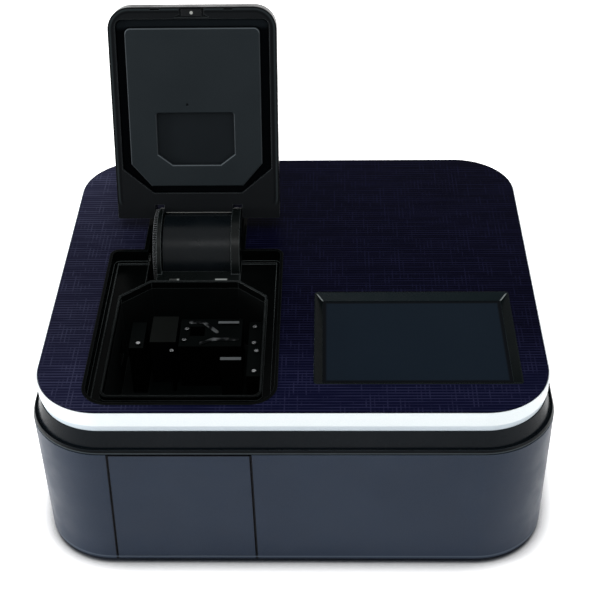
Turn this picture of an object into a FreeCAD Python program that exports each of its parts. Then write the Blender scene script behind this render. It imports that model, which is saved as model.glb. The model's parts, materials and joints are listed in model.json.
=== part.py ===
import FreeCAD, Part
import math
import os
import Sketcher

# Benchtop water quality analyzer. Millimetres, +Z up, +X to the right, +Y to the back.
# The origin is on the table, under the middle of the body. The lid is modelled open.

doc = FreeCAD.newDocument("analyzer")
sheet = doc.addObject("Spreadsheet::Sheet", "Sizes")
nodes = {}
sheet_rows = [0]


class Size:
    """A number together with the sheet expression that it comes from."""

    def __init__(self, number, text):
        self.number = number
        self.text = text

    def __add__(self, other):
        other = as_size(other)
        return Size(self.number + other.number, "(%s + %s)" % (self.text, other.text))

    def __radd__(self, other):
        return as_size(other) + self

    def __sub__(self, other):
        other = as_size(other)
        return Size(self.number - other.number, "(%s - %s)" % (self.text, other.text))

    def __rsub__(self, other):
        return as_size(other) - self

    def __mul__(self, other):
        other = as_size(other)
        return Size(self.number * other.number, "(%s * %s)" % (self.text, other.text))

    def __rmul__(self, other):
        return as_size(other) * self

    def __truediv__(self, other):
        other = as_size(other)
        return Size(self.number / other.number, "(%s / %s)" % (self.text, other.text))

    def __neg__(self):
        return Size(-self.number, "(0 - %s)" % self.text)


def as_size(value):
    if isinstance(value, Size):
        return value
    return Size(float(value), "(%.6g)" % value)


def size(alias, number):
    """Writes one driving dimension to the sheet and returns it."""
    sheet_rows[0] += 1
    row = sheet_rows[0]
    sheet.set("A%d" % row, alias)
    sheet.set("B%d" % row, str(number))
    sheet.setAlias("B%d" % row, alias)
    return Size(float(number), "Sizes.%s" % alias)


def bind(item, path, value):
    item.setExpression(path, as_size(value).text)


# Body stack, from the table up
plate_width = size("plate_width", 400.0)
plate_depth = size("plate_depth", 359.5)
plate_corner = size("plate_corner", 52.9)
plate_thick = size("plate_thick", 1.6)
foot_height = size("foot_height", 5.0)
body_height = size("body_height", 161.0)
housing_top = size("housing_top", 123.4)
collar_top = size("collar_top", 141.2)
wall = size("wall", 3.0)
housing_flare = size("housing_flare", 7.2)
housing_base_flare = size("housing_base_flare", 5.9)
housing_floor_width = size("housing_floor_width", 36.0)
seam = size("seam", 0.8)
ring_overhang = size("ring_overhang", 0.4)
ring_bevel_height = size("ring_bevel_height", 6.4)
ring_bevel_inset = size("ring_bevel_inset", 1.6)
joint_gap = size("joint_gap", 0.3)
shelf_edge = size("shelf_edge", -7.0)

# Sample well, its bezel and the chamber below
well_x = size("well_x", -86.3)
bezel_half_width = size("bezel_half_width", 75.5)
bezel_front = size("bezel_front", -171.0)
bezel_back = size("bezel_back", 32.0)
bezel_rim = size("bezel_rim", 2.6)
bezel_front_corner = size("bezel_front_corner", 22.0)
bezel_back_corner = size("bezel_back_corner", 8.0)
ledge_depth = size("ledge_depth", 12.0)
ledge_thick = size("ledge_thick", 3.0)
ledge_step = size("ledge_step", 1.5)
ledge_inset = size("ledge_inset", 3.4)
lip_height = size("lip_height", 4.5)
lip_thick = size("lip_thick", 2.2)
mouth_half_width = size("mouth_half_width", 61.0)
mouth_front = size("mouth_front", -150.5)
mouth_back = size("mouth_back", -4.5)
mouth_back_half = size("mouth_back_half", 37.3)
mouth_chamfer = size("mouth_chamfer", 21.0)
chamber_depth = size("chamber_depth", 75.0)
chamber_wall = size("chamber_wall", 2.4)

# Lid hinge. Distances from the hinge axis are those of the closed lid.
axis_y = size("axis_y", 50.5)
axis_drop = size("axis_drop", 14.5)
lid_open = size("lid_open", 106.6)
drum_radius = size("drum_radius", 33.0)
drum_half = size("drum_half", 29.3)
cheek_radius = size("cheek_radius", 38.5)
cheek_thick = size("cheek_thick", 7.4)
cheek_gap = size("cheek_gap", 1.0)
drum_gap = size("drum_gap", 1.0)
shaft_radius = size("shaft_radius", 4.0)
bush_radius = size("bush_radius", 8.0)
running_gap = size("running_gap", 0.05)
nut_radius = size("nut_radius", 16.0)
nut_thick = size("nut_thick", 3.6)
nut_rib = size("nut_rib", 0.9)

# Lid
lid_setback = size("lid_setback", 29.0)
lid_rise = size("lid_rise", 4.5)
lid_half_width = size("lid_half_width", 71.6)
lid_length = size("lid_length", 185.5)
lid_corner = size("lid_corner", 19.0)
lid_back_corner = size("lid_back_corner", 1.5)
lid_skin = size("lid_skin", 2.4)
lid_dome = size("lid_dome", 18.0)
groove_half_width = size("groove_half_width", 65.0)
groove_back = size("groove_back", 23.4)
groove_front = size("groove_front", 175.2)
groove_back_half = size("groove_back_half", 39.0)
groove_chamfer = size("groove_chamfer", 21.6)
groove_depth = size("groove_depth", 8.0)
panel_half_width = size("panel_half_width", 57.3)
panel_back = size("panel_back", 29.8)
panel_front = size("panel_front", 168.0)
panel_back_half = size("panel_back_half", 40.0)
panel_chamfer = size("panel_chamfer", 20.0)
panel_rise = size("panel_rise", 1.5)
pocket_half_width = size("pocket_half_width", 33.5)
pocket_back = size("pocket_back", 49.0)
pocket_front = size("pocket_front", 95.0)
pocket_back_half = size("pocket_back_half", 21.0)
pocket_chamfer = size("pocket_chamfer", 9.5)
pocket_depth = size("pocket_depth", 4.0)
gasket_height = size("gasket_height", 5.0)
notch_depth = size("notch_depth", 12.5)
latch_half_width = size("latch_half_width", 14.8)
latch_block_half = size("latch_block_half", 8.5)

# Touch screen
screen_left = size("screen_left", 17.0)
screen_right = size("screen_right", 178.3)
screen_front = size("screen_front", -147.3)
screen_back = size("screen_back", -30.4)
screen_corner = size("screen_corner", 3.0)
screen_slope = size("screen_slope", 6.8)
screen_recess = size("screen_recess", 4.6)
glass_thick = size("glass_thick", 2.0)
display_thick = size("display_thick", 8.0)

# Front service panel
door_left_top = size("door_left_top", -141.6)
door_right_top = size("door_right_top", -31.4)
door_left_base = size("door_left_base", -144.2)
door_right_base = size("door_right_base", -30.4)
door_base = size("door_base", 9.0)
door_gap = size("door_gap", 0.5)
stud_radius = size("stud_radius", 2.5)
stud_length = size("stud_length", 9.0)

face_y = -(plate_depth / 2)
back_y = plate_depth / 2
plate_x = plate_width / 2
axis_z = body_height - axis_drop
ledge_z = body_height - ledge_depth
door_front = face_y - housing_flare


def add_node(label, item):
    """Gives a finished sub-part its own label, which also names its file."""
    item.Label = label
    nodes[label] = item
    return item


def new_body(label):
    return doc.addObject("PartDesign::Body", label)


def origin_plane(body, role):
    for feature in body.Origin.OriginFeatures:
        if feature.Role == role:
            return feature
    raise ValueError("no plane " + role)


def sketch_on(body, role, offset=0.0):
    """Adds an empty sketch on one of the body's planes, moved along the plane's normal."""
    sketch = body.newObject("Sketcher::SketchObject", body.Name + "_sketch")
    sketch.AttachmentSupport = [(origin_plane(body, role), "")]
    sketch.MapMode = "FlatFace"
    bind(sketch, "AttachmentOffset.Base.z", offset)
    return sketch


def fix_point(sketch, geometry, place, x, y):
    """Ties a sketch point to the sketch's origin by two driven distances."""
    for kind, value in (("DistanceX", as_size(x)), ("DistanceY", as_size(y))):
        constraint = Sketcher.Constraint(kind, -1, 1, geometry, place, value.number)
        index = sketch.addConstraint(constraint)
        sketch.setExpression("Constraints[%d]" % index, value.text)


def corner_tangents(before, corner, after, radius):
    """Distance from a corner to its arc's ends, and the arc's centre."""
    to_before = (before - corner).normalize()
    to_after = (after - corner).normalize()
    half_turn = to_before.getAngle(to_after) / 2
    reach = radius / math.tan(half_turn)
    middle = (to_before + to_after).normalize()
    centre = corner + middle * (radius / math.sin(half_turn))
    return corner + to_before * reach, corner + to_after * reach, centre


def corner_arc(start, end, centre, radius):
    """The short arc between two tangent points, and whether it runs clockwise."""
    first = math.atan2(start.y - centre.y, start.x - centre.x)
    last = math.atan2(end.y - centre.y, end.x - centre.x)
    turn = (last - first) % (2 * math.pi)
    clockwise = turn > math.pi
    if clockwise:
        first, last = last, first
    circle = Part.Circle(centre, FreeCAD.Vector(0, 0, 1), radius)
    return Part.ArcOfCircle(circle, first, last), clockwise


def outline(sketch, corners):
    """Draws a closed outline. Each corner is (x, y) or (x, y, radius), every value driven."""
    count = len(corners)
    points = []
    for corner in corners:
        points.append(FreeCAD.Vector(as_size(corner[0]).number, as_size(corner[1]).number, 0))
    ends = []
    for index, corner in enumerate(corners):
        if len(corner) == 3:
            radius = as_size(corner[2]).number
            before = points[index - 1]
            after = points[(index + 1) % count]
            ends.append(corner_tangents(before, points[index], after, radius))
        else:
            ends.append((points[index], points[index], None))
    lines = []
    for index in range(count):
        following = (index + 1) % count
        segment = Part.LineSegment(ends[index][1], ends[following][0])
        lines.append(sketch.addGeometry(segment, False))
    for index, corner in enumerate(corners):
        last_line = lines[index - 1]
        next_line = lines[index]
        if len(corner) == 2:
            sketch.addConstraint(Sketcher.Constraint("Coincident", last_line, 2, next_line, 1))
            fix_point(sketch, next_line, 1, corner[0], corner[1])
            continue
        radius = as_size(corner[2])
        arc, clockwise = corner_arc(ends[index][0], ends[index][1], ends[index][2], radius.number)
        arc_index = sketch.addGeometry(arc, False)
        first_end, last_end = (2, 1) if clockwise else (1, 2)
        sketch.addConstraint(Sketcher.Constraint("Tangent", last_line, 2, arc_index, first_end))
        sketch.addConstraint(Sketcher.Constraint("Tangent", arc_index, last_end, next_line, 1))
        bend = sketch.addConstraint(Sketcher.Constraint("Radius", arc_index, radius.number))
        sketch.setExpression("Constraints[%d]" % bend, radius.text)
        vertex = sketch.addGeometry(Part.Point(points[index]), True)
        sketch.addConstraint(Sketcher.Constraint("PointOnObject", vertex, 1, last_line))
        sketch.addConstraint(Sketcher.Constraint("PointOnObject", vertex, 1, next_line))
        fix_point(sketch, vertex, 1, corner[0], corner[1])
    return sketch


def ring(sketch, x, y, radius):
    """Draws a full circle."""
    centre = FreeCAD.Vector(as_size(x).number, as_size(y).number, 0)
    radius = as_size(radius)
    circle = sketch.addGeometry(Part.Circle(centre, FreeCAD.Vector(0, 0, 1), radius.number), False)
    bend = sketch.addConstraint(Sketcher.Constraint("Radius", circle, radius.number))
    sketch.setExpression("Constraints[%d]" % bend, radius.text)
    fix_point(sketch, circle, 3, x, y)
    return sketch


def oblong(x0, x1, y0, y1, radius=None):
    """The four corners of a rectangle, rounded where a radius is given."""
    corners = [(x0, y0), (x1, y0), (x1, y1), (x0, y1)]
    if radius is None:
        return corners
    return [(x, y, radius) for x, y in corners]


def pad(body, sketch, length, backwards=False, taper=None):
    feature = body.newObject("PartDesign::Pad", body.Name + "_pad")
    feature.Profile = sketch
    bind(feature, "Length", length)
    feature.Reversed = backwards
    if taper is not None:
        bind(feature, "TaperAngle", taper)
    return feature


def pocket(body, sketch, length, backwards=False, taper=None):
    feature = body.newObject("PartDesign::Pocket", body.Name + "_pocket")
    feature.Profile = sketch
    bind(feature, "Length", length)
    feature.Reversed = backwards
    if taper is not None:
        bind(feature, "TaperAngle", taper)
    return feature


def edges_where(feature, test):
    """Names of a feature's edges that pass the test."""
    doc.recompute()
    names = []
    for index, edge in enumerate(feature.Shape.Edges):
        if test(edge):
            names.append("Edge%d" % (index + 1))
    return names


def round_edges(body, feature, radius, test, kind="Fillet"):
    """Fillets or chamfers the edges of the body's last feature that pass the test."""
    result = body.newObject("PartDesign::" + kind, body.Name + "_" + kind.lower())
    result.Base = (feature, edges_where(feature, test))
    bind(result, "Radius" if kind == "Fillet" else "Size", radius)
    return result


def level_edge(height):
    """A test for edges that lie flat at one height."""
    level = as_size(height).number

    def test(edge):
        box = edge.BoundBox
        return abs(box.ZMin - level) < 0.01 and abs(box.ZMax - level) < 0.01

    return test


def prism(label, corners, low, high):
    """A body padded up from one outline on the level plane."""
    body = new_body(label)
    sketch = outline(sketch_on(body, "XY_Plane", low), corners)
    pad(body, sketch, as_size(high) - low)
    return body


def turned_band(label, section):
    """A band round the plate's outline, from (overhang, height) pairs.

    One quarter is made of half a front run, a turned corner and half a side run. It is then
    mirrored to the other three quarters, so every face stays flat or turned.
    """
    body = new_body(label + "_quarter")
    run_x = plate_x - plate_corner
    run_y = back_y - plate_corner
    front = outline(sketch_on(body, "YZ_Plane"), [(face_y - out, height) for out, height in section])
    pad(body, front, run_x)
    turn = outline(sketch_on(body, "YZ_Plane", run_x), [(face_y - out, height) for out, height in section])
    centre = FreeCAD.Vector(-run_y.number, 0, 0)
    axis = turn.addGeometry(Part.LineSegment(centre, centre + FreeCAD.Vector(0, 100, 0)), True)
    turn.addConstraint(Sketcher.Constraint("Vertical", axis))
    turn.addConstraint(Sketcher.Constraint("DistanceY", axis, 1, axis, 2, 100.0))
    fix_point(turn, axis, 1, -run_y, 0.0)
    corner = body.newObject("PartDesign::Revolution", label + "_corner")
    corner.Profile = turn
    corner.ReferenceAxis = (turn, ["Axis0"])
    corner.Angle = 90
    side = outline(sketch_on(body, "XZ_Plane"), [(plate_x + out, height) for out, height in section])
    pad(body, side, run_y)
    half = fuse(body, mirror(body, (1, 0, 0)))
    whole = fuse(half, mirror(half, (0, 1, 0)))
    whole.Refine = True
    whole.Label = label
    return whole


def mirror(item, normal):
    result = doc.addObject("Part::Mirroring", "mirrored")
    result.Source = item
    result.Normal = FreeCAD.Vector(*normal)
    return result


def box(x0, x1, y0, y1, z0, z1):
    """A plain block between six driven planes."""
    item = doc.addObject("Part::Box", "block")
    bind(item, "Length", as_size(x1) - x0)
    bind(item, "Width", as_size(y1) - y0)
    bind(item, "Height", as_size(z1) - z0)
    bind(item, "Placement.Base.x", x0)
    bind(item, "Placement.Base.y", y0)
    bind(item, "Placement.Base.z", z0)
    return item


ROD_TURNS = {
    "x": FreeCAD.Rotation(FreeCAD.Vector(0, 1, 0), 90),
    "y": FreeCAD.Rotation(FreeCAD.Vector(1, 0, 0), -90),
    "z": FreeCAD.Rotation(),
}


def rod(axis, x, y, z, radius, length):
    """A cylinder that starts at a point and runs along one axis."""
    item = doc.addObject("Part::Cylinder", "rod")
    item.Placement = FreeCAD.Placement(FreeCAD.Vector(), ROD_TURNS[axis])
    bind(item, "Radius", radius)
    bind(item, "Height", length)
    bind(item, "Placement.Base.x", x)
    bind(item, "Placement.Base.y", y)
    bind(item, "Placement.Base.z", z)
    return item


def fuse(*items):
    result = doc.addObject("Part::MultiFuse", "joined")
    result.Shapes = list(items)
    return result


def cut(base, *tools):
    result = doc.addObject("Part::Cut", "trimmed")
    result.Base = base
    result.Tool = tools[0] if len(tools) == 1 else fuse(*tools)
    return result


def common(first, second):
    result = doc.addObject("Part::Common", "shared")
    result.Base = first
    result.Tool = second
    return result


def group(*items):
    result = doc.addObject("Part::Compound", "group")
    result.Links = list(items)
    return result


# Body shells

floor_low = foot_height
floor_top = foot_height + wall
base_thick = size("base_thick", 2.0)
base_top = floor_top + base_thick
base_inset = size("base_inset", 6.0)
foot_radius = size("foot_radius", 11.0)
foot_inset = size("foot_inset", 28.0)
io_left = size("io_left", 40.0)
io_right = size("io_right", 140.0)
io_low = size("io_low", 30.0)
io_high = size("io_high", 88.0)
io_lap = size("io_lap", 6.0)
io_thick = size("io_thick", 2.0)
vent_left = size("vent_left", -150.0)
vent_pitch = size("vent_pitch", 7.0)
vent_width = size("vent_width", 3.0)
vent_low = size("vent_low", 34.0)
vent_high = size("vent_high", 94.0)
vent_count = 12
inner_back_y = back_y + housing_base_flare - wall


def wall_blank():
    """The drafted side wall and floor flange of the lower housing, without its windows."""
    return turned_band("wall_blank", [
        (housing_flare, housing_top),
        (housing_base_flare, floor_low + 1.2),
        (housing_base_flare - 1.2, floor_low),
        (-housing_floor_width, floor_low),
        (-housing_floor_width, floor_top),
        (housing_base_flare - wall, floor_top),
        (housing_flare - wall, housing_top + seam),
        (housing_flare - wall / 2, housing_top + seam),
        (housing_flare - wall / 2, housing_top),
    ])


def door_outline(gap):
    """The service panel's outline on the front wall, narrower at the top than at the base."""
    return [
        (door_left_base + gap, door_base + gap),
        (door_right_base - gap, door_base + gap),
        (door_right_top - gap, housing_top + wall),
        (door_left_top + gap, housing_top + wall),
    ]


def front_prism(label, corners, front, depth):
    """A body padded from an upright outline towards the back."""
    body = new_body(label)
    sketch = outline(sketch_on(body, "XZ_Plane", -as_size(front)), corners)
    pad(body, sketch, depth, backwards=True)
    return body


def vent_slots():
    """A row of upright slots through the back wall."""
    body = new_body("vent_slots")
    sketch = sketch_on(body, "XZ_Plane", -(back_y - wall))
    outline(sketch, oblong(vent_left, vent_left + vent_width, vent_low, vent_high))
    slot = pad(body, sketch, wall * 5, backwards=True)
    row = body.newObject("PartDesign::LinearPattern", "vent_row")
    row.Originals = [slot]
    row.Direction = (sketch, ["H_Axis"])
    bind(row, "Length", vent_pitch * (vent_count - 1))
    row.Occurrences = vent_count
    body.Tip = row
    return body


def foot_places():
    """The middle of each foot, on the floor flange at a corner."""
    x = plate_x - foot_inset
    y = back_y - foot_inset
    return [(x, y), (-x, y), (x, -y), (-x, -y)]


def lower_housing():
    door_hole = front_prism("door_hole", door_outline(0.0), door_front - wall, wall * 3)
    io_hole = box(io_left, io_right, back_y - wall, back_y + wall * 4, io_low, io_high)
    return add_node("lower_housing", cut(wall_blank(), door_hole, io_hole, vent_slots()))


def stud_places():
    """One stud near each upright side of the service panel."""
    return [(door_left_top + 18.0, 40.0), (door_right_top - 18.0, 92.0)]


catch_y = face_y - housing_base_flare + wall + 5.0


def front_panel():
    """The pull-off service panel, cut from the same drafted wall, with its push-in studs."""
    blade = front_prism("panel_blade", door_outline(door_gap), door_front - wall, wall * 3 - 0.5)
    floor = box(-plate_x, plate_x, door_front - wall, back_y, floor_low, housing_top)
    skin = common(common(wall_blank(), blade), floor)
    pieces = [skin]
    for x, z in stud_places():
        start = face_y - housing_flare + wall / 2
        pieces.append(rod("y", x, start, z, stud_radius, stud_length + wall))
    return add_node("front_panel", fuse(*pieces))


def panel_catch_plate():
    """An upright plate on the base plate, with a hole for each stud."""
    left = door_left_top + 4.0
    right = door_right_top - 4.0
    upright = box(left, right, catch_y, catch_y + 2.0, base_top, 116.0)
    tab = box(left, right, catch_y, catch_y + 16.0, base_top, base_top + 2.0)
    holes = []
    for x, z in stud_places():
        holes.append(rod("y", x, catch_y - 1.0, z, stud_radius + running_gap, 4.0))
    return add_node("panel_catch_plate", cut(fuse(upright, tab), *holes))


def base_plate():
    """The pressed steel floor, bonded on the housing's floor flange."""
    x = plate_x - base_inset
    y = back_y - base_inset
    body = prism("base_plate_body", oblong(-x, x, -y, y, plate_corner - base_inset), floor_top, base_top)
    slots = outline(sketch_on(body, "XY_Plane", floor_top), oblong(60.0, 66.0, -60.0, 60.0))
    slot = pocket(body, slots, wall, backwards=True)
    row = body.newObject("PartDesign::LinearPattern", "base_slots")
    row.Originals = [slot]
    row.Direction = (slots, ["H_Axis"])
    bind(row, "Length", vent_pitch * 10)
    row.Occurrences = 6
    body.Tip = row
    return add_node("base_plate", body)


def rubber_feet():
    feet = [rod("z", x, y, 0.0, foot_radius, foot_height) for x, y in foot_places()]
    return add_node("rubber_feet", group(*feet))


def upper_collar():
    """The dark shoulder, which slopes out from the white ring to a bead over the housing."""
    return add_node("upper_collar", turned_band("upper_collar", [
        (-0.4, collar_top),
        (3.6, housing_top + 3.0),
        (5.7, housing_top + 4.0),
        (housing_flare - 0.2, housing_top + seam),
        (housing_flare - wall - seam, housing_top + seam),
        (-1.8, collar_top - wall),
        (shelf_edge, collar_top - wall),
        (shelf_edge, collar_top),
    ]))


def trim_ring():
    """The pale ring round the top plate, bevelled in under its upright face."""
    top_z = body_height - plate_thick
    return add_node("trim_ring", turned_band("trim_ring", [
        (ring_overhang, collar_top + ring_bevel_height),
        (ring_overhang, body_height - 0.8),
        (-0.2, body_height - 0.8),
        (-0.2, top_z),
        (shelf_edge, top_z),
        (shelf_edge, top_z - 2.0),
        (ring_overhang - wall, top_z - 2.0),
        (ring_overhang - wall - ring_bevel_inset, collar_top),
        (ring_overhang - ring_bevel_inset, collar_top),
    ]))


# Top plate, well bezel and sample chamber

cheek_inner = drum_half + cheek_gap
cheek_outer = cheek_inner + cheek_thick
left_cheek_outer = cheek_outer - nut_thick
hinge_hole_left = well_x - cheek_outer - nut_thick - 1.6
hinge_hole_right = well_x + cheek_outer + 0.8
hinge_hole_front = mouth_back + lip_thick + 0.5
hinge_hole_back = axis_y + cheek_radius + 0.8
bay_rim = size("bay_rim", 3.4)
fit_gap = size("fit_gap", 0.2)


def bezel_outline(gap):
    """The bezel's outline on the plate: the well, and the hinge bay behind it."""
    left = well_x - bezel_half_width - gap
    right = well_x + bezel_half_width + gap
    front = bezel_front - gap
    back = bezel_back + gap
    bay_left = hinge_hole_left - bay_rim - gap
    bay_right = hinge_hole_right + bay_rim + gap
    bay_back = hinge_hole_back + bay_rim + gap
    return [
        (left, front, bezel_front_corner + gap),
        (right, front, bezel_front_corner + gap),
        (right, back, bezel_back_corner + gap),
        (bay_right, back),
        (bay_right, bay_back),
        (bay_left, bay_back),
        (bay_left, back),
        (left, back, bezel_back_corner + gap),
    ]


def mouth_outline(grow):
    """The chamber's mouth, with its two cut corners towards the hinge."""
    half = mouth_half_width + grow
    back_half = mouth_back_half + grow * 0.45
    chamfer = mouth_chamfer + grow * 0.45
    return [
        (well_x - half, mouth_front - grow, 6.0),
        (well_x + half, mouth_front - grow, 6.0),
        (well_x + half, mouth_back + grow - chamfer),
        (well_x + back_half, mouth_back + grow),
        (well_x - back_half, mouth_back + grow),
        (well_x - half, mouth_back + grow - chamfer),
    ]


def screen_outline(inset, corner):
    """The screen opening, drawn in by an inset."""
    return oblong(screen_left + inset, screen_right - inset, screen_front + inset, screen_back - inset, corner)


def top_plate():
    """The patterned top plate, with the well, hinge bay and screen cut through it."""
    edge = 0.6
    body = prism(
        "top_plate_body",
        oblong(-plate_x + edge, plate_x - edge, face_y + edge, back_y - edge, plate_corner - edge),
        body_height - plate_thick,
        body_height,
    )
    well = outline(sketch_on(body, "XY_Plane", body_height), bezel_outline(fit_gap))
    pocket(body, well, plate_thick * 2)
    screen = outline(sketch_on(body, "XY_Plane", body_height), screen_outline(-fit_gap, screen_corner))
    pocket(body, screen, plate_thick * 2)
    return add_node("top_plate", body)


def well_bezel():
    """The recess that the lid closes into: rim, ledge, raised light lip and hinge bay."""
    low = ledge_z - ledge_thick
    rim_top = body_height + 0.4
    body = prism("well_bezel_body", bezel_outline(0.0), low, rim_top)
    half = bezel_half_width - bezel_rim
    front = bezel_front + bezel_rim
    back = bezel_back - bezel_rim
    front_corner = bezel_front_corner - bezel_rim
    back_corner = bezel_back_corner - bezel_rim
    upper = outline(sketch_on(body, "XY_Plane", rim_top), [
        (well_x - half, front, front_corner),
        (well_x + half, front, front_corner),
        (well_x + half, back, back_corner),
        (well_x - half, back, back_corner),
    ])
    pocket(body, upper, rim_top - ledge_z - ledge_step)
    floor_half = half - ledge_inset
    floor = outline(sketch_on(body, "XY_Plane", rim_top), [
        (well_x - floor_half, front + ledge_inset, front_corner - ledge_inset),
        (well_x + floor_half, front + ledge_inset, front_corner - ledge_inset),
        (well_x + floor_half, back - ledge_inset),
        (well_x - floor_half, back - ledge_inset),
    ])
    pocket(body, floor, rim_top - ledge_z)
    lip = outline(sketch_on(body, "XY_Plane", ledge_z), mouth_outline(lip_thick))
    pad(body, lip, lip_height)
    mouth = outline(sketch_on(body, "XY_Plane", rim_top), mouth_outline(0.0))
    pocket(body, mouth, rim_top - low)
    bay = outline(
        sketch_on(body, "XY_Plane", rim_top),
        oblong(hinge_hole_left, hinge_hole_right, hinge_hole_front, hinge_hole_back),
    )
    last = pocket(body, bay, rim_top - low)
    round_edges(body, last, 0.7, level_edge(ledge_z + lip_height), "Chamfer")
    return add_node("well_bezel", body)


beam_y = size("beam_y", -50.0)
beam_z = size("beam_z", 112.0)
window_half = size("window_half", 8.0)
lens_radius = size("lens_radius", 8.0)
window_thick = size("window_thick", 1.2)
window_mount_thick = size("window_mount_thick", 3.0)
chamber_floor = body_height - chamber_depth
bench_top = chamber_floor - chamber_wall


def sample_chamber():
    """The black tub under the mouth, with a beam window bored through each side."""
    top = ledge_z - ledge_thick
    body = prism("sample_chamber_body", mouth_outline(chamber_wall), bench_top, top)
    room = outline(sketch_on(body, "XY_Plane", top), mouth_outline(0.0))
    pocket(body, room, top - chamber_floor)
    half = mouth_half_width + chamber_wall * 2
    reach = window_half + running_gap
    beam = box(well_x - half, well_x + half, beam_y - reach, beam_y + reach, beam_z - reach, beam_z + reach)
    return add_node("sample_chamber", cut(body, beam))


def beam_windows():
    """A square quartz plate flush with the outside of each side wall."""
    outside = mouth_half_width + chamber_wall
    panes = []
    for start in (well_x - outside, well_x + outside - window_thick):
        panes.append(box(
            start,
            start + window_thick,
            beam_y - window_half,
            beam_y + window_half,
            beam_z - window_half,
            beam_z + window_half,
        ))
    return add_node("beam_windows", group(*panes))


def window_mounts():
    """The square plates outside the chamber that hold the two windows."""
    outside = mouth_half_width + chamber_wall
    half = window_half + 4.0
    plates = []
    for start in (well_x - outside - window_mount_thick, well_x + outside):
        end = start + window_mount_thick
        plate = box(start, end, beam_y - half, beam_y + half, beam_z - half, beam_z + half)
        hole = box(start - 1.0, end + 1.0, beam_y - 6.0, beam_y + 6.0, beam_z - 6.0, beam_z + 6.0)
        plates.append(cut(plate, hole))
    return add_node("window_mounts", group(*plates))


# Fixed side of the hinge

def hinge_bracket():
    """The cradle under the drum, with a round cheek at each end and a back rest."""
    body = new_body("hinge_bracket_body")
    left = well_x - left_cheek_outer
    right = well_x + cheek_outer
    front = hinge_hole_front + joint_gap
    back = hinge_hole_back - joint_gap
    apron_z = ledge_z - joint_gap
    low = axis_z - cheek_radius - 0.5
    inner_right = well_x + cheek_inner
    pad(body, ring(sketch_on(body, "YZ_Plane", left), axis_y, axis_z, cheek_radius), right - left)
    top_room = outline(sketch_on(body, "YZ_Plane", inner_right), oblong(
        front, back + 5.0, axis_z, axis_z + cheek_radius * 2
    ))
    pocket(body, top_room, cheek_inner * 2)
    side = outline(sketch_on(body, "YZ_Plane", left), [
        (front, low + 14.0),
        (axis_y - 16.0, low),
        (axis_y + 16.0, low),
        (back, low + 14.0),
        (back, stop_wall_z),
        (back - 4.4, stop_wall_z),
        (back - 4.4, apron_z),
        (front, apron_z),
    ])
    pad(body, side, right - left)
    drum_room = ring(sketch_on(body, "YZ_Plane", inner_right), axis_y, axis_z, drum_radius + drum_gap)
    pocket(body, drum_room, cheek_inner * 2)
    bore = ring(sketch_on(body, "YZ_Plane", right), axis_y, axis_z, shaft_radius + running_gap)
    pocket(body, bore, right - left)
    return add_node("hinge_bracket", body)


stop_wall_z = size("stop_wall_z", 158.0)
stop_top_z = size("stop_top_z", 170.7)
stop_inner = size("stop_inner", 8.0)
stop_outer = size("stop_outer", 20.0)


def lid_pads():
    """Rubber pads: two behind the drum, which the open lid leans on, and two on the front apron."""
    back = hinge_hole_back - joint_gap
    front = hinge_hole_front + joint_gap
    low = ledge_z - joint_gap
    pads = []
    for left in (well_x - stop_outer, well_x + stop_inner):
        pads.append(box(left, left + stop_outer - stop_inner, back - 6.0, back, stop_wall_z, stop_top_z))
    for left, right in ((well_x - 22.5, well_x - 14.0), (well_x + 17.0, well_x + 27.5)):
        pads.append(box(left, right, front, front + 4.5, low, low + 2.0))
    return add_node("lid_pads", group(*pads))


def bracket_posts():
    """Two posts that carry the hinge bracket from the base plate."""
    low = axis_z - cheek_radius - 0.5
    posts = []
    for x in (well_x - 24.0, well_x + 24.0):
        post = box(x - 6.0, x + 6.0, axis_y - 9.0, axis_y + 9.0, base_top, low)
        foot = box(x - 10.0, x + 10.0, axis_y - 15.0, axis_y + 15.0, base_top, base_top + 3.0)
        posts.append(fuse(post, foot))
    return add_node("bracket_posts", group(*posts))


def hinge_shaft():
    left = well_x - left_cheek_outer - nut_thick
    length = left_cheek_outer + nut_thick + cheek_outer + 0.6
    return add_node("hinge_shaft", rod("x", left, axis_y, axis_z, shaft_radius, length))


def tension_nut():
    """The ribbed nut outside the left cheek, which sets the hinge's friction."""
    body = new_body("tension_nut_body")
    disc = ring(sketch_on(body, "YZ_Plane"), 0.0, 0.0, nut_radius)
    pad(body, disc, nut_thick)
    rib = outline(sketch_on(body, "YZ_Plane"), [
        (-nut_rib / 2, nut_radius - 1.0),
        (nut_rib / 2, nut_radius - 1.0),
        (nut_rib / 3, nut_radius + nut_rib),
        (-nut_rib / 3, nut_radius + nut_rib),
    ])
    tooth = pad(body, rib, nut_thick)
    ribs = body.newObject("PartDesign::PolarPattern", "nut_ribs")
    ribs.Originals = [tooth]
    ribs.Axis = (disc, ["N_Axis"])
    ribs.Angle = 360
    ribs.Occurrences = 28
    body.Tip = ribs
    bore = ring(sketch_on(body, "YZ_Plane", nut_thick), 0.0, 0.0, shaft_radius + running_gap)
    pocket(body, bore, nut_thick)
    bind(body, "Placement.Base.x", well_x - left_cheek_outer - nut_thick)
    bind(body, "Placement.Base.y", axis_y)
    bind(body, "Placement.Base.z", axis_z)
    return add_node("tension_nut", body)


# Lid, modelled closed with the hinge axis as its X axis, then swung open as a whole

lid_back_y = -lid_setback
lid_front_y = -(lid_setback + lid_length)
shell_low = lid_rise + lid_skin


def swing(item):
    """Places a finished lid piece on the hinge axis, turned to the open angle."""
    item.Placement = FreeCAD.Placement(
        FreeCAD.Vector(),
        FreeCAD.Rotation(FreeCAD.Vector(-1, 0, 0), lid_open.number),
    )
    bind(item, "Placement.Base.x", well_x)
    bind(item, "Placement.Base.y", axis_y)
    bind(item, "Placement.Base.z", axis_z)
    item.setExpression("Placement.Rotation.Angle", "Sizes.lid_open")
    return item


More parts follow.
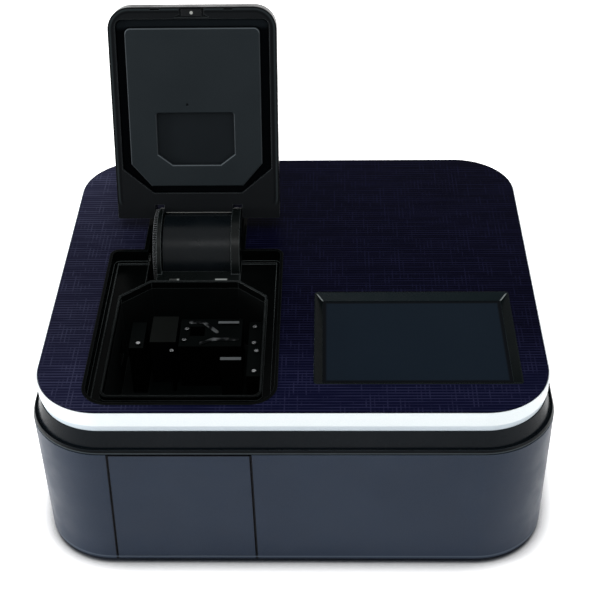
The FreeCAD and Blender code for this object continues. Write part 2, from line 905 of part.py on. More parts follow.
def cut_corner_outline(half, back, front, back_half, chamfer, grow, front_corner):
    """The outline shared by the groove, the panel and its pocket, in lid distances."""
    near = -(lid_setback + back - grow)
    far = -(lid_setback + front + grow)
    side = half + grow
    narrow = back_half + grow * 0.45
    shoulder = near - chamfer - grow * 0.45
    return [
        (-side, far, front_corner),
        (side, far, front_corner),
        (side, shoulder),
        (narrow, near),
        (-narrow, near),
        (-side, shoulder),
    ]


def groove_outline(grow):
    return cut_corner_outline(
        groove_half_width, groove_back, groove_front, groove_back_half, groove_chamfer, grow, 6.0
    )


def panel_outline(grow):
    return cut_corner_outline(
        panel_half_width, panel_back, panel_front, panel_back_half, panel_chamfer, grow, 5.0
    )


def pocket_outline():
    return cut_corner_outline(
        pocket_half_width, pocket_back, pocket_front, pocket_back_half, pocket_chamfer, 0.0, 2.0
    )


def lid_frame():
    """The lid's inner frame, notched round the hinge cheeks, with the light-seal channel."""
    outer_notch = cheek_outer + 1.0
    notch_y = lid_back_y - notch_depth
    drum_y = -(drum_radius + 0.8)
    body = prism("lid_frame_body", [
        (-lid_half_width, lid_front_y, lid_corner),
        (lid_half_width, lid_front_y, lid_corner),
        (lid_half_width, lid_back_y, lid_back_corner),
        (outer_notch, lid_back_y),
        (outer_notch, notch_y),
        (cheek_inner, notch_y),
        (cheek_inner, drum_y),
        (-cheek_inner, drum_y),
        (-cheek_inner, notch_y),
        (-outer_notch, notch_y),
        (-outer_notch, lid_back_y),
        (-lid_half_width, lid_back_y, lid_back_corner),
    ], lid_rise, shell_low)
    channel = outline(sketch_on(body, "XY_Plane", lid_rise), groove_outline(2.0))
    pad(body, channel, groove_depth + 2.0)
    groove = outline(sketch_on(body, "XY_Plane", lid_rise), groove_outline(0.0))
    pocket(body, groove, groove_depth, backwards=True)
    latch_end = lid_front_y + latch_depth
    latch_room = outline(sketch_on(body, "XY_Plane", lid_rise), [
        (-latch_block_half - 2.0, lid_front_y + 1.0),
        (latch_block_half + 2.0, lid_front_y + 1.0),
        (latch_block_half + 2.0, latch_end - 2.4),
        (latch_half_width, latch_end),
        (-latch_half_width, latch_end),
        (-latch_block_half - 2.0, latch_end - 2.4),
    ])
    last = pocket(body, latch_room, lid_skin - 0.4, backwards=True)
    for x in (-31.0, 31.0):
        slot = outline(sketch_on(body, "XY_Plane", lid_rise), oblong(
            x - 4.0, x + 4.0, lid_front_y + 1.2, lid_front_y + 2.6
        ))
        last = pocket(body, slot, lid_skin - 0.6, backwards=True)
    round_edges(body, last, 0.5, frame_face_edge, "Chamfer")
    return add_node("lid_frame", swing(body))


latch_depth = size("latch_depth", 8.6)


def frame_face_edge(edge):
    """True for the groove's rim lines on the frame's face, and for the edge beside the drum."""
    bounds = edge.BoundBox
    level = abs(bounds.ZMin - lid_rise.number) < 0.01 and abs(bounds.ZMax - lid_rise.number) < 0.01
    inside = abs(bounds.XMin) < groove_half_width.number + 0.1 and abs(bounds.XMax) < groove_half_width.number + 0.1
    wide = abs(bounds.XMin) > 38.8 or abs(bounds.XMax) > 38.8
    below = bounds.YMax < -(lid_setback.number + groove_back.number) + 0.1
    past_latch = bounds.YMin > lid_front_y.number + latch_depth.number + 0.1
    drum_line = -(drum_radius.number + 0.8)
    beside_drum = abs(bounds.YMin - drum_line) < 0.01 and abs(bounds.YMax - drum_line) < 0.01
    return level and (beside_drum or (inside and wide and below and past_latch))


def lid_inner_panel():
    """The raised panel inside the groove, with its shallow cut-cornered pocket."""
    low = lid_rise - panel_rise
    body = prism("lid_inner_panel_body", panel_outline(0.0), low, lid_rise + groove_depth)
    recess = outline(sketch_on(body, "XY_Plane", low), pocket_outline())
    last = pocket(body, recess, pocket_depth, backwards=True)
    round_edges(body, last, 0.8, level_edge(low), "Chamfer")
    dot_y = -(lid_setback + 102.7)
    dot = outline(sketch_on(body, "XY_Plane", low), oblong(-7.3, -5.3, dot_y - 1.0, dot_y + 1.0))
    pocket(body, dot, 1.5, backwards=True)
    return add_node("lid_inner_panel", swing(body))


def lid_gasket():
    """The light seal in the bottom of the groove."""
    low = lid_rise + groove_depth - gasket_height
    body = prism("lid_gasket_body", groove_outline(-0.6), low, lid_rise + groove_depth)
    inner = outline(sketch_on(body, "XY_Plane", low), panel_outline(0.6))
    pocket(body, inner, gasket_height, backwards=True)
    return add_node("lid_gasket", swing(body))


def lid_outer_shell():
    """The lid's outer cover: rounded, hollow, and notched like the frame."""
    body = new_body("lid_outer_shell_body")
    base = outline(sketch_on(body, "XY_Plane", shell_low), [
        (-lid_half_width, lid_front_y, lid_corner),
        (lid_half_width, lid_front_y, lid_corner),
        (lid_half_width, lid_back_y),
        (-lid_half_width, lid_back_y),
    ])
    last = pad(body, base, lid_dome)
    last = round_edges(body, last, 6.0, level_edge(shell_low + lid_dome))
    inner = lid_half_width - 3.2
    cut_off = lid_corner * 0.44
    hollow = outline(sketch_on(body, "XY_Plane", shell_low), [
        (-inner, lid_front_y + 3.2 + cut_off),
        (-inner + cut_off, lid_front_y + 3.2),
        (inner - cut_off, lid_front_y + 3.2),
        (inner, lid_front_y + 3.2 + cut_off),
        (inner, lid_back_y - notch_depth - wall),
        (-inner, lid_back_y - notch_depth - wall),
    ])
    pocket(body, hollow, lid_dome - wall - 3.0, backwards=True)
    for side in (-1, 1):
        start = (cheek_outer + cheek_inner) / 2 * side
        reach = (cheek_thick + 1.0) / 2
        notch = outline(sketch_on(body, "XY_Plane", shell_low), oblong(
            start - reach + 0.5 * side, start + reach + 0.5 * side, lid_back_y - notch_depth, lid_back_y + 5.0
        ))
        pocket(body, notch, lid_dome * 2, backwards=True)
    tongue_room = outline(sketch_on(body, "XY_Plane", shell_low), oblong(
        -26.6, 26.6, lid_back_y - 21.6, lid_back_y + 5.0
    ))
    pocket(body, tongue_room, 5.2, backwards=True)
    drum_room = ring(sketch_on(body, "YZ_Plane", cheek_inner), 0.0, 0.0, drum_radius + 0.6)
    pocket(body, drum_room, cheek_inner * 2)
    return add_node("lid_outer_shell", swing(body))


def latch_block():
    """The small catch at the lid's free edge, in the frame's shallow pocket."""
    middle = lid_front_y + latch_depth / 2 + 0.5
    block = box(-latch_block_half, latch_block_half, middle - 3.0, middle + 3.0, lid_rise + 0.2, shell_low - 0.6)
    pin = rod("z", 0.0, middle, lid_rise - 0.2, 1.3, 1.0)
    return add_node("latch_block", swing(fuse(block, pin)))


def lid_drum():
    """The drum that turns with the lid, with the tongue bonded to the frame's back."""
    body = new_body("lid_drum_body")
    disc = ring(sketch_on(body, "YZ_Plane", -drum_half), 0.0, 0.0, drum_radius)
    pad(body, disc, drum_half * 2)
    tongue = outline(sketch_on(body, "XY_Plane", shell_low), oblong(
        -26.0, 26.0, lid_back_y - 20.5, -(drum_radius - 2.0)
    ))
    pad(body, tongue, 2.8)
    bore = ring(sketch_on(body, "YZ_Plane", drum_half), 0.0, 0.0, bush_radius)
    pocket(body, bore, drum_half * 2)
    return add_node("lid_drum", swing(body))


def hinge_bushes():
    """The pair of friction bushes in the drum's bore, joined as one sleeve."""
    tube = rod("x", -drum_half, 0.0, 0.0, bush_radius, drum_half * 2)
    bore = rod("x", -drum_half - 1.0, 0.0, 0.0, shaft_radius + running_gap, drum_half * 2 + 2.0)
    return add_node("hinge_bushes", swing(cut(tube, bore)))


# Touch screen

def screen_bezel():
    """The frame round the glass, with four faces that slope down to it."""
    glass_top = body_height - screen_recess
    rim_top = body_height + fit_gap
    low = glass_top - 6.4
    body = prism("screen_bezel_body", screen_outline(0.0, screen_corner), low, rim_top)
    slope = body.newObject("PartDesign::SubtractiveLoft", "screen_slope")
    slope.Profile = outline(sketch_on(body, "XY_Plane", rim_top), screen_outline(0.8, None))
    slope.Sections = [outline(sketch_on(body, "XY_Plane", glass_top), screen_outline(screen_slope, None))]
    through = outline(sketch_on(body, "XY_Plane", glass_top), screen_outline(screen_slope, None))
    pocket(body, through, glass_top)
    rebate = outline(sketch_on(body, "XY_Plane", low), screen_outline(3.0, None))
    pocket(body, rebate, glass_top - low, backwards=True)
    return add_node("screen_bezel", body)


def touch_glass():
    top = body_height - screen_recess
    return add_node("touch_glass", prism("touch_glass_body", screen_outline(3.2, None), top - glass_thick, top))


def display_module():
    top = body_height - screen_recess - glass_thick
    return add_node("display_module", prism("display_body", screen_outline(5.0, None), top - display_thick, top))


def display_tray():
    """The sheet-metal tray that hangs the display from the plate's underside."""
    high = body_height - plate_thick
    low = body_height - screen_recess - glass_thick - display_thick - 1.5
    body = prism("display_tray_body", screen_outline(-3.0, None), low, high)
    flange = outline(sketch_on(body, "XY_Plane", high - 1.5), screen_outline(-5.0, None))
    pad(body, flange, 1.5)
    room = outline(sketch_on(body, "XY_Plane", high), screen_outline(-1.5, None))
    pocket(body, room, high - low - 1.5)
    cable = outline(sketch_on(body, "XY_Plane", high), oblong(80.0, 115.0, -60.0, -45.0))
    pocket(body, cable, high)
    return add_node("display_tray", body)


# Measuring cell inside the chamber

cell_top = body_height - 25.8
cell_base_top = chamber_floor + 6.0
cell_left = size("cell_left", -96.0)
cell_right = size("cell_right", -44.0)
cell_front = size("cell_front", -70.0)
cell_back = size("cell_back", -34.0)
cuvette_half = size("cuvette_half", 6.3)
cuvette_x = size("cuvette_x", -81.5)
strip_thick = size("strip_thick", 0.8)


def cell_base():
    return add_node("cell_base", box(-122.0, -40.0, -112.0, -22.0, chamber_floor, cell_base_top))


def cuvette_holder():
    """The block with the square cuvette bay, crossed by the beam."""
    block = box(cell_left, cell_right, cell_front, cell_back, cell_base_top, cell_top)
    bay = box(
        cuvette_x - cuvette_half,
        cuvette_x + cuvette_half,
        beam_y - cuvette_half,
        beam_y + cuvette_half,
        cell_base_top + 4.0,
        cell_top + 1.0,
    )
    beam = box(cell_left - 1.0, cell_right + 1.0, beam_y - 2.5, beam_y + 2.5, beam_z - 4.0, beam_z + 4.0)
    return add_node("cuvette_holder", cut(block, bay, beam))


def lens_block():
    """The square block between the left window and the cuvette."""
    block = box(-120.3, -98.5, -65.3, -31.0, cell_base_top, cell_top + strip_thick)
    beam = box(-122.0, -96.5, beam_y - 6.0, beam_y + 6.0, beam_z - 6.0, beam_z + 6.0)
    return add_node("lens_block", cut(block, beam))


def beam_blocks():
    """Dark blocks beside the side windows: an entry baffle and the scattered-light detector."""
    left = box(-137.0, -125.0, -72.0, -38.0, chamber_floor, cell_top)
    right = box(-38.0, -27.0, -108.0, -38.0, chamber_floor, cell_top)
    beam = box(-140.0, -25.0, beam_y - 6.0, beam_y + 6.0, beam_z - 6.0, beam_z + 6.0)
    return add_node("beam_blocks", group(cut(left, beam), cut(right, beam)))


def flat_strip(points, width):
    """A thin strip bent on the level plane, from its middle line."""
    pieces = []
    for (x0, y0), (x1, y1) in zip(points, points[1:]):
        length = math.hypot(x1 - x0, y1 - y0)
        leaf = doc.addObject("Part::Box", "leaf")
        turn = math.degrees(math.atan2(y1 - y0, x1 - x0))
        leaf.Placement = FreeCAD.Placement(FreeCAD.Vector(), FreeCAD.Rotation(FreeCAD.Vector(0, 0, 1), turn))
        bind(leaf, "Length", length)
        bind(leaf, "Width", width)
        bind(leaf, "Height", strip_thick)
        shift = width / 2
        bind(leaf, "Placement.Base.x", x0 + shift * math.sin(math.radians(turn)))
        bind(leaf, "Placement.Base.y", y0 - shift * math.cos(math.radians(turn)))
        bind(leaf, "Placement.Base.z", cell_top)
        pieces.append(leaf)
    for x, y in points:
        pieces.append(rod("z", x, y, cell_top, width / 2, strip_thick))
    return fuse(*pieces)


def cell_springs():
    """Two bent leaf springs on the holder, which press the cuvette into its corner."""
    back = flat_strip([(-87.8, -38.6), (-76.8, -38.6), (-65.2, -51.5)], strip_width)
    front = flat_strip([(-77.3, -66.6), (-67.6, -61.4), (-47.7, -61.4)], strip_width)
    return add_node("cell_springs", group(back, front))


strip_width = size("strip_width", 3.2)


def clamp_bars():
    """A bar on the holder and a taller one in front of it."""
    back = box(-64.4, -46.9, -41.7, -38.7, cell_top, cell_top + 1.6)
    front = box(-60.2, -43.0, -88.5, -84.9, cell_base_top, cell_top + strip_thick)
    return add_node("clamp_bars", group(back, front))


def hex_bar(x, y, z, radius, height):
    """An upright six-sided bar."""
    item = doc.addObject("Part::Prism", "hex_bar")
    item.Polygon = 6
    bind(item, "Circumradius", radius)
    bind(item, "Height", height)
    bind(item, "Placement.Base.x", x)
    bind(item, "Placement.Base.y", y)
    bind(item, "Placement.Base.z", z)
    return item


def cell_screws():
    """Screw heads on the holder and on the dark blocks, and one on a standoff."""
    heads = []
    for x, y in ((-90.4, -48.0), (-91.6, -62.6), (-33.3, -45.5), (-33.3, -66.7), (-30.9, -77.1), (-31.8, -102.4)):
        heads.append(hex_bar(x, y, cell_top, cell_screw_radius, 1.4))
    heads.append(hex_bar(-129.5, -66.7, cell_top, cell_screw_radius, 1.4))
    heads.append(hex_bar(-101.0, -75.0, cell_base_top, cell_screw_radius, cell_top - cell_base_top))
    return add_node("cell_screws", group(*heads))


cell_screw_radius = size("cell_screw_radius", 1.9)


# Optics under the deck

bench_thick = size("bench_thick", 6.0)
bench_low = bench_top - bench_thick
grating_x = size("grating_x", 18.0)
grating_y = size("grating_y", -95.0)
motor_half = size("motor_half", 17.5)
motor_height = size("motor_height", 28.0)
pivot_radius = size("pivot_radius", 2.5)


def optics_bench():
    """The cast plate under the chamber, bored for the grating's shaft."""
    plate = box(-190.0, 75.0, -155.0, -2.5, bench_low, bench_top)
    shaft_hole = rod("z", grating_x, grating_y, bench_low - 1.0, pivot_radius + 0.5, bench_thick + 2.0)
    return add_node("optics_bench", cut(plate, shaft_hole))


def bench_posts():
    posts = []
    for x in (-180.0, 65.0):
        for y in (-140.0, -12.0):
            posts.append(box(x - 5.0, x + 5.0, y - 5.0, y + 5.0, base_top, bench_low))
    return add_node("bench_posts", group(*posts))


def lamp_housing():
    """The housing left of the chamber, hollow for the lamp and bored for the lens."""
    right = well_x - mouth_half_width - chamber_wall - window_mount_thick - joint_gap / 2
    block = box(-190.0, right, beam_y - 20.0, beam_y + 20.0, bench_top, beam_z + 20.0)
    room = box(-187.0, right - 14.0, beam_y - 16.0, beam_y + 16.0, bench_top + 4.0, beam_z + 16.0)
    bore = rod("x", right - 20.0, beam_y, beam_z, lens_radius + running_gap, 24.0)
    return add_node("lamp_housing", cut(block, room, bore))


def source_lamp():
    """The lamp in its base, standing on the floor of its housing."""
    socket = box(-184.0, -168.0, beam_y - 8.0, beam_y + 8.0, bench_top + 4.0, bench_top + 16.0)
    bulb = rod("z", -176.0, beam_y, bench_top + 16.0, 5.0, 20.0)
    return add_node("source_lamp", fuse(socket, bulb))


def condenser_lens():
    """The lens in the bore of the lamp housing."""
    right = well_x - mouth_half_width - chamber_wall - window_mount_thick - joint_gap / 2
    return add_node("condenser_lens", rod("x", right - 8.0, beam_y, beam_z, lens_radius, 5.0))


def slit_plate():
    """A thin plate with the entrance slit, on its foot right of the chamber."""
    left = well_x + mouth_half_width + chamber_wall + window_mount_thick + joint_gap / 2
    upright = box(left, left + 2.0, beam_y - 18.0, beam_y + 18.0, bench_top, beam_z + 16.0)
    foot = box(left, left + 12.0, beam_y - 18.0, beam_y + 18.0, bench_top, bench_top + 2.0)
    slit = box(left - 1.0, left + 3.0, beam_y - 0.5, beam_y + 0.5, beam_z - 5.0, beam_z + 5.0)
    return add_node("slit_plate", cut(fuse(upright, foot), slit))


def mirror_block():
    """The block that carries the collimating mirror face at the end of the beam."""
    return add_node("mirror_block", box(54.0, 66.0, beam_y - 16.0, beam_y + 16.0, bench_top, beam_z + 16.0))


def grating_table():
    """The turntable and the shaft that runs down through the bench into the motor."""
    table = box(
        grating_x - 12.0,
        grating_x + 12.0,
        grating_y - 7.0,
        grating_y + 7.0,
        bench_top + 0.5,
        bench_top + 4.5,
    )
    shaft = rod("z", grating_x, grating_y, bench_low - 16.0, pivot_radius, bench_thick + 17.0)
    return add_node("grating_table", fuse(table, shaft))


def diffraction_grating():
    low = bench_top + 4.5
    return add_node("diffraction_grating", box(
        grating_x - 10.0, grating_x + 10.0, grating_y - 3.0, grating_y + 3.0, low, low + 26.0
    ))


def grating_motor():
    """The square motor under the bench, bored for the shaft."""
    block = box(
        grating_x - motor_half,
        grating_x + motor_half,
        grating_y - motor_half,
        grating_y + motor_half,
        bench_low - motor_height,
        bench_low,
    )
    bore = rod("z", grating_x, grating_y, bench_low - 20.0, pivot_radius + running_gap, 21.0)
    return add_node("grating_motor", cut(block, bore))


def detector_module():
    """The detector behind its exit slit, with the small board on its back."""
    block = box(-18.0, 2.0, -138.0, -120.0, bench_top, beam_z + 12.0)
    slit = box(-8.5, -7.5, -122.0, -119.0, beam_z - 5.0, beam_z + 5.0)
    return add_node("detector_module", cut(block, slit))


# Electronics

board_low = base_top + 10.0
board_thick = size("board_thick", 1.6)


def main_board():
    """The main board with its larger parts."""
    board = box(77.0, 175.0, -135.0, 0.0, board_low, board_low + board_thick)
    top = board_low + board_thick
    chip = box(100.0, 124.0, -90.0, -66.0, top, top + 2.4)
    header = box(80.0, 85.0, -120.0, -60.0, top, top + 8.0)
    relay = box(140.0, 160.0, -40.0, -25.0, top, top + 12.0)
    return add_node("main_board", fuse(board, chip, header, relay))


def board_standoffs():
    posts = []
    for x in (82.0, 169.0):
        for y in (-129.0, -6.0):
            posts.append(hex_bar(x, y, base_top, 3.5, board_low - base_top))
    return add_node("board_standoffs", group(*posts))


def power_supply():
    """The vented supply unit on the base plate."""
    case = box(60.0, 160.0, 60.0, 140.0, base_top, base_top + 40.0)
    slots = [box(60.0 + 12.0 * step, 64.0 + 12.0 * step, 72.0, 128.0, base_top + 38.0, base_top + 41.0)
             for step in range(1, 8)]
    return add_node("power_supply", cut(case, *slots))


fan_x = vent_left + vent_pitch * 5.5 + vent_width / 2
fan_z = (vent_low + vent_high) / 2
fan_half = size("fan_half", 30.0)
fan_depth = size("fan_depth", 15.0)
fan_back = inner_back_y + 0.25
fan_hub = size("fan_hub", 12.0)
fan_bore = size("fan_bore", 28.0)


def fan_frame():
    """The cooling fan's square frame with the four arms that hold its pin."""
    block = box(fan_x - fan_half, fan_x + fan_half, fan_back - fan_depth, fan_back, fan_z - fan_half, fan_z + fan_half)
    bore = rod("y", fan_x, fan_back - fan_depth - 1.0, fan_z, fan_bore, fan_depth + 2.0)
    bar = box(fan_x - fan_half, fan_x + fan_half, fan_back - fan_depth, fan_back - fan_depth + 2.0, fan_z - 2.0, fan_z + 2.0)
    stem = box(fan_x - 2.0, fan_x + 2.0, fan_back - fan_depth, fan_back - fan_depth + 2.0, fan_z - fan_half, fan_z + fan_half)
    pin = rod("y", fan_x, fan_back - fan_depth, fan_z, 1.5, 10.0)
    return add_node("fan_frame", fuse(cut(block, bore), bar, stem, pin))


def fan_stand():
    """The bracket that holds the fan up against the vents."""
    foot = box(fan_x - fan_half, fan_x + fan_half, fan_back - 30.0, fan_back - 1.0, base_top, base_top + 2.0)
    web = box(fan_x - fan_half, fan_x + fan_half, fan_back - 10.0, fan_back - 8.0, base_top, fan_z - fan_half)
    return add_node("fan_stand", fuse(foot, web))


def fan_rotor():
    """The fan's hub and its slanted blades, turning on the frame's pin."""
    body = new_body("fan_rotor_body")
    hub = ring(sketch_on(body, "XZ_Plane"), 0.0, 0.0, fan_hub)
    pad(body, hub, fan_depth - 4.0)
    blade = outline(sketch_on(body, "XY_Plane", fan_hub - 1.0), [
        (-4.0, -(fan_depth - 4.5)),
        (-2.6, -(fan_depth - 4.5)),
        (4.0, -0.5),
        (2.6, -0.5),
    ])
    vane = pad(body, blade, fan_bore - fan_hub)
    row = body.newObject("PartDesign::PolarPattern", "fan_blades")
    row.Originals = [vane]
    row.Axis = (origin_plane(body, "Y_Axis"), [""])
    row.Angle = 360
    row.Occurrences = 5
    body.Tip = row
    socket = ring(sketch_on(body, "XZ_Plane", fan_depth - 4.0), 0.0, 0.0, 1.5 + running_gap)
    pocket(body, socket, 9.0)
    bind(body, "Placement.Base.x", fan_x)
    bind(body, "Placement.Base.y", fan_back - 1.0)
    bind(body, "Placement.Base.z", fan_z)
    return add_node("fan_rotor", body)


# Rear connections

inlet_left = size("inlet_left", 46.0)
inlet_right = size("inlet_right", 78.0)
inlet_low = size("inlet_low", 36.0)
inlet_high = size("inlet_high", 60.0)
switch_x = size("switch_x", 97.0)
switch_z = size("switch_z", 48.0)
socket_x = size("socket_x", 125.0)
socket_low = size("socket_low", 40.0)
panel_back_y = inner_back_y + 0.1


def rear_panel():
    """The steel panel behind the window in the back wall, pierced for the connections."""
    front = panel_back_y - io_thick
    plate = box(io_left - io_lap, io_right + io_lap, front, panel_back_y, io_low - io_lap, io_high + io_lap)
    deep = panel_back_y - front + 2.0
    inlet = box(inlet_left + 2.0, inlet_right - 2.0, front - 1.0, front - 1.0 + deep, inlet_low + 2.0, inlet_high - 2.0)
    switch = box(switch_x - 7.0, switch_x + 7.0, front - 1.0, front - 1.0 + deep, switch_z - 11.0, switch_z + 11.0)
    holes = [inlet, switch]
    for low in (socket_low, socket_low + 16.0):
        holes.append(box(socket_x - 6.8, socket_x + 6.8, front - 1.0, front - 1.0 + deep, low - 0.1, low + 6.1))
    return add_node("rear_panel", cut(plate, *holes))


def power_inlet():
    """The recessed three-pin mains inlet."""
    flange = box(inlet_left, inlet_right, panel_back_y, panel_back_y + 2.0, inlet_low, inlet_high)
    shell = box(
        inlet_left + 2.2,
        inlet_right - 2.2,
        panel_back_y - 20.0,
        panel_back_y + 1.0,
        inlet_low + 2.2,
        inlet_high - 2.2,
    )
    room = box(
        inlet_left + 4.0,
        inlet_right - 4.0,
        panel_back_y - 15.0,
        panel_back_y + 3.0,
        inlet_low + 4.0,
        inlet_high - 4.0,
    )
    return add_node("power_inlet", cut(fuse(flange, shell), room))


def inlet_pins():
    """The three blades in the mains inlet."""
    middle = (inlet_left + inlet_right) / 2
    level = (inlet_low + inlet_high) / 2
    pins = []
    for x, z in ((middle - 7.0, level - 2.0), (middle, level + 2.0), (middle + 7.0, level - 2.0)):
        pins.append(box(x - 1.0, x + 1.0, panel_back_y - 15.0, panel_back_y - 2.0, z - 2.0, z + 2.0))
    return add_node("inlet_pins", group(*pins))


def switch_frame():
    """The power switch's frame, with the pivot pin across it."""
    body = box(
        switch_x - 6.8,
        switch_x + 6.8,
        panel_back_y - 16.0,
        panel_back_y + 1.0,
        switch_z - 10.8,
        switch_z + 10.8,
    )
    flange = box(switch_x - 8.5, switch_x + 8.5, panel_back_y, panel_back_y + 1.5, switch_z - 12.5, switch_z + 12.5)
    room = box(switch_x - 5.6, switch_x + 5.6, panel_back_y - 13.0, panel_back_y + 3.0, switch_z - 9.6, switch_z + 9.6)
    pin = rod("x", switch_x - 6.0, panel_back_y - 4.0, switch_z, 1.2, 12.0)
    return add_node("switch_frame", fuse(cut(fuse(body, flange), room), pin))


def switch_rocker():
    """The rocker, pressed in at its lower end."""
    body = new_body("switch_rocker_body")
    side = outline(sketch_on(body, "YZ_Plane", -5.2), [
        (-5.0, -2.6),
        (0.6, -8.4),
        (2.6, -8.4),
        (3.4, 0.0),
        (5.4, 8.4),
        (3.0, 8.6),
        (-5.0, 2.6),
    ])
    pad(body, side, 10.4)
    bore = ring(sketch_on(body, "YZ_Plane", 5.2), 0.0, 0.0, 1.2 + running_gap)
    pocket(body, bore, 10.4)
    bind(body, "Placement.Base.x", switch_x)
    bind(body, "Placement.Base.y", panel_back_y - 4.0)
    bind(body, "Placement.Base.z", switch_z)
    return add_node("switch_rocker", body)


def data_sockets():
    """Two metal data sockets, one over the other."""
    sockets = []
    for low in (socket_low, socket_low + 16.0):
        shell = box(socket_x - 6.6, socket_x + 6.6, panel_back_y - 14.0, panel_back_y + 0.8, low + 0.1, low + 5.9)
        room = box(socket_x - 6.1, socket_x + 6.1, panel_back_y - 12.0, panel_back_y + 2.0, low + 0.6, low + 5.4)
        tongue = box(socket_x - 5.4, socket_x + 5.4, panel_back_y - 12.0, panel_back_y - 2.0, low + 0.6, low + 1.3)
        sockets.append(fuse(cut(shell, room), tongue))
    return add_node("data_sockets", group(*sockets))


builders = [
    lower_housing, front_panel, panel_catch_plate, base_plate, rubber_feet,
    upper_collar, trim_ring, top_plate, well_bezel, sample_chamber, beam_windows, window_mounts,
    hinge_bracket, lid_pads, bracket_posts, hinge_shaft, tension_nut,
    lid_frame, lid_inner_panel, lid_gasket, lid_outer_shell, latch_block,
    lid_drum, hinge_bushes,
    screen_bezel, touch_glass, display_module, display_tray,
    cell_base, cuvette_holder, lens_block, beam_blocks, cell_springs, clamp_bars, cell_screws,
    optics_bench, bench_posts, lamp_housing, source_lamp, condenser_lens, slit_plate, mirror_block,
    grating_table, diffraction_grating, grating_motor, detector_module,
    main_board, board_standoffs, power_supply, fan_frame, fan_stand, fan_rotor,
    rear_panel, power_inlet, inlet_pins, switch_frame, switch_rocker, data_sockets,
]
for build in builders:
    build()
doc.recompute()

faults = []
for item in doc.Objects:
    if "Invalid" in item.State or "Error" in item.State:
        faults.append("%s (%s): %s" % (item.Name, item.Label, item.State))
    shape = getattr(item, "Shape", None)
    if shape is not None and item.TypeId != "PartDesign::Body" and not item.TypeId.startswith("Sketcher"):
        if item.TypeId.startswith("Part") and (shape.isNull() or not shape.isValid()):
            faults.append("%s (%s): bad shape" % (item.Name, item.Label))
for label, item in nodes.items():
    if item.Shape.isNull() or not item.Shape.isValid() or not item.Shape.Solids:
        faults.append("%s: no valid solid" % label)
if faults:
    raise RuntimeError("faults before writing: " + "; ".join(faults))

os.makedirs("parts", exist_ok=True)
for label, item in nodes.items():
    item.Shape.exportStep("parts/%s.step" % label)
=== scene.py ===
import json
import math

import bpy
from mathutils import Matrix, Vector


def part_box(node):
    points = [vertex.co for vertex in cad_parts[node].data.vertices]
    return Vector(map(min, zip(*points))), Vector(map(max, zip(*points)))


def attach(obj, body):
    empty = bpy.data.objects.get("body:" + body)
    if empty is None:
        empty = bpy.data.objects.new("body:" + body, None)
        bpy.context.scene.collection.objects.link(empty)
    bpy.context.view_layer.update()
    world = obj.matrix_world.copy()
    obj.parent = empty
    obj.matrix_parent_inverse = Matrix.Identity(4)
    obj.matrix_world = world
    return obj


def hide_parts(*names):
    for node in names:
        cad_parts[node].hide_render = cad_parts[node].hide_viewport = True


# A benchtop water quality analyzer: the looks of the CAD nodes, four small added pieces,
# the camera, the floor and the lamps. Metres, in the CAD frame: X to the right, Y to the
# back, Z up.

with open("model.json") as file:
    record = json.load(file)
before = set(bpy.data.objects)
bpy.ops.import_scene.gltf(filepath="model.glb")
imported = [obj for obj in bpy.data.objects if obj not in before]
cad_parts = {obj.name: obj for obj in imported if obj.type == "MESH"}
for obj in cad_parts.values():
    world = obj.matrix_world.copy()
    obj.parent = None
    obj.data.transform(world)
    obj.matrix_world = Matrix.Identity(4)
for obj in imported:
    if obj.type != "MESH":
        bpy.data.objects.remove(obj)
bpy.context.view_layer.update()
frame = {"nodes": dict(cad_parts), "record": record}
nodes = frame["nodes"]

UP = (0.0, 0.0, 1.0)
TO_FRONT = (0.0, -1.0, 0.0)
WHITE = (1.0, 1.0, 1.0, 1.0)

# The lid's hinge axis, and the directions across, along and into the open lid
WELL_X = -0.0863
HINGE_Y = 0.0505
HINGE_Z = 0.1465
LID_OPEN = math.radians(106.6)
LID_ORIGIN = (WELL_X, HINGE_Y, HINGE_Z)
LID_ACROSS = (1.0, 0.0, 0.0)
LID_ALONG = (0.0, math.cos(LID_OPEN), -math.sin(LID_OPEN))
LID_DEEP = (0.0, math.sin(LID_OPEN), math.cos(LID_OPEN))
LID_FRONT = tuple(-value for value in LID_DEEP)


def srgb(red, green, blue):
    """A colour written as 0-255 screen values, as the linear values that shaders take."""
    linear = []
    for value in (red, green, blue):
        value = value / 255.0
        if value <= 0.04045:
            linear.append(value / 12.92)
        else:
            linear.append(((value + 0.055) / 1.055) ** 2.4)
    return (linear[0], linear[1], linear[2], 1.0)


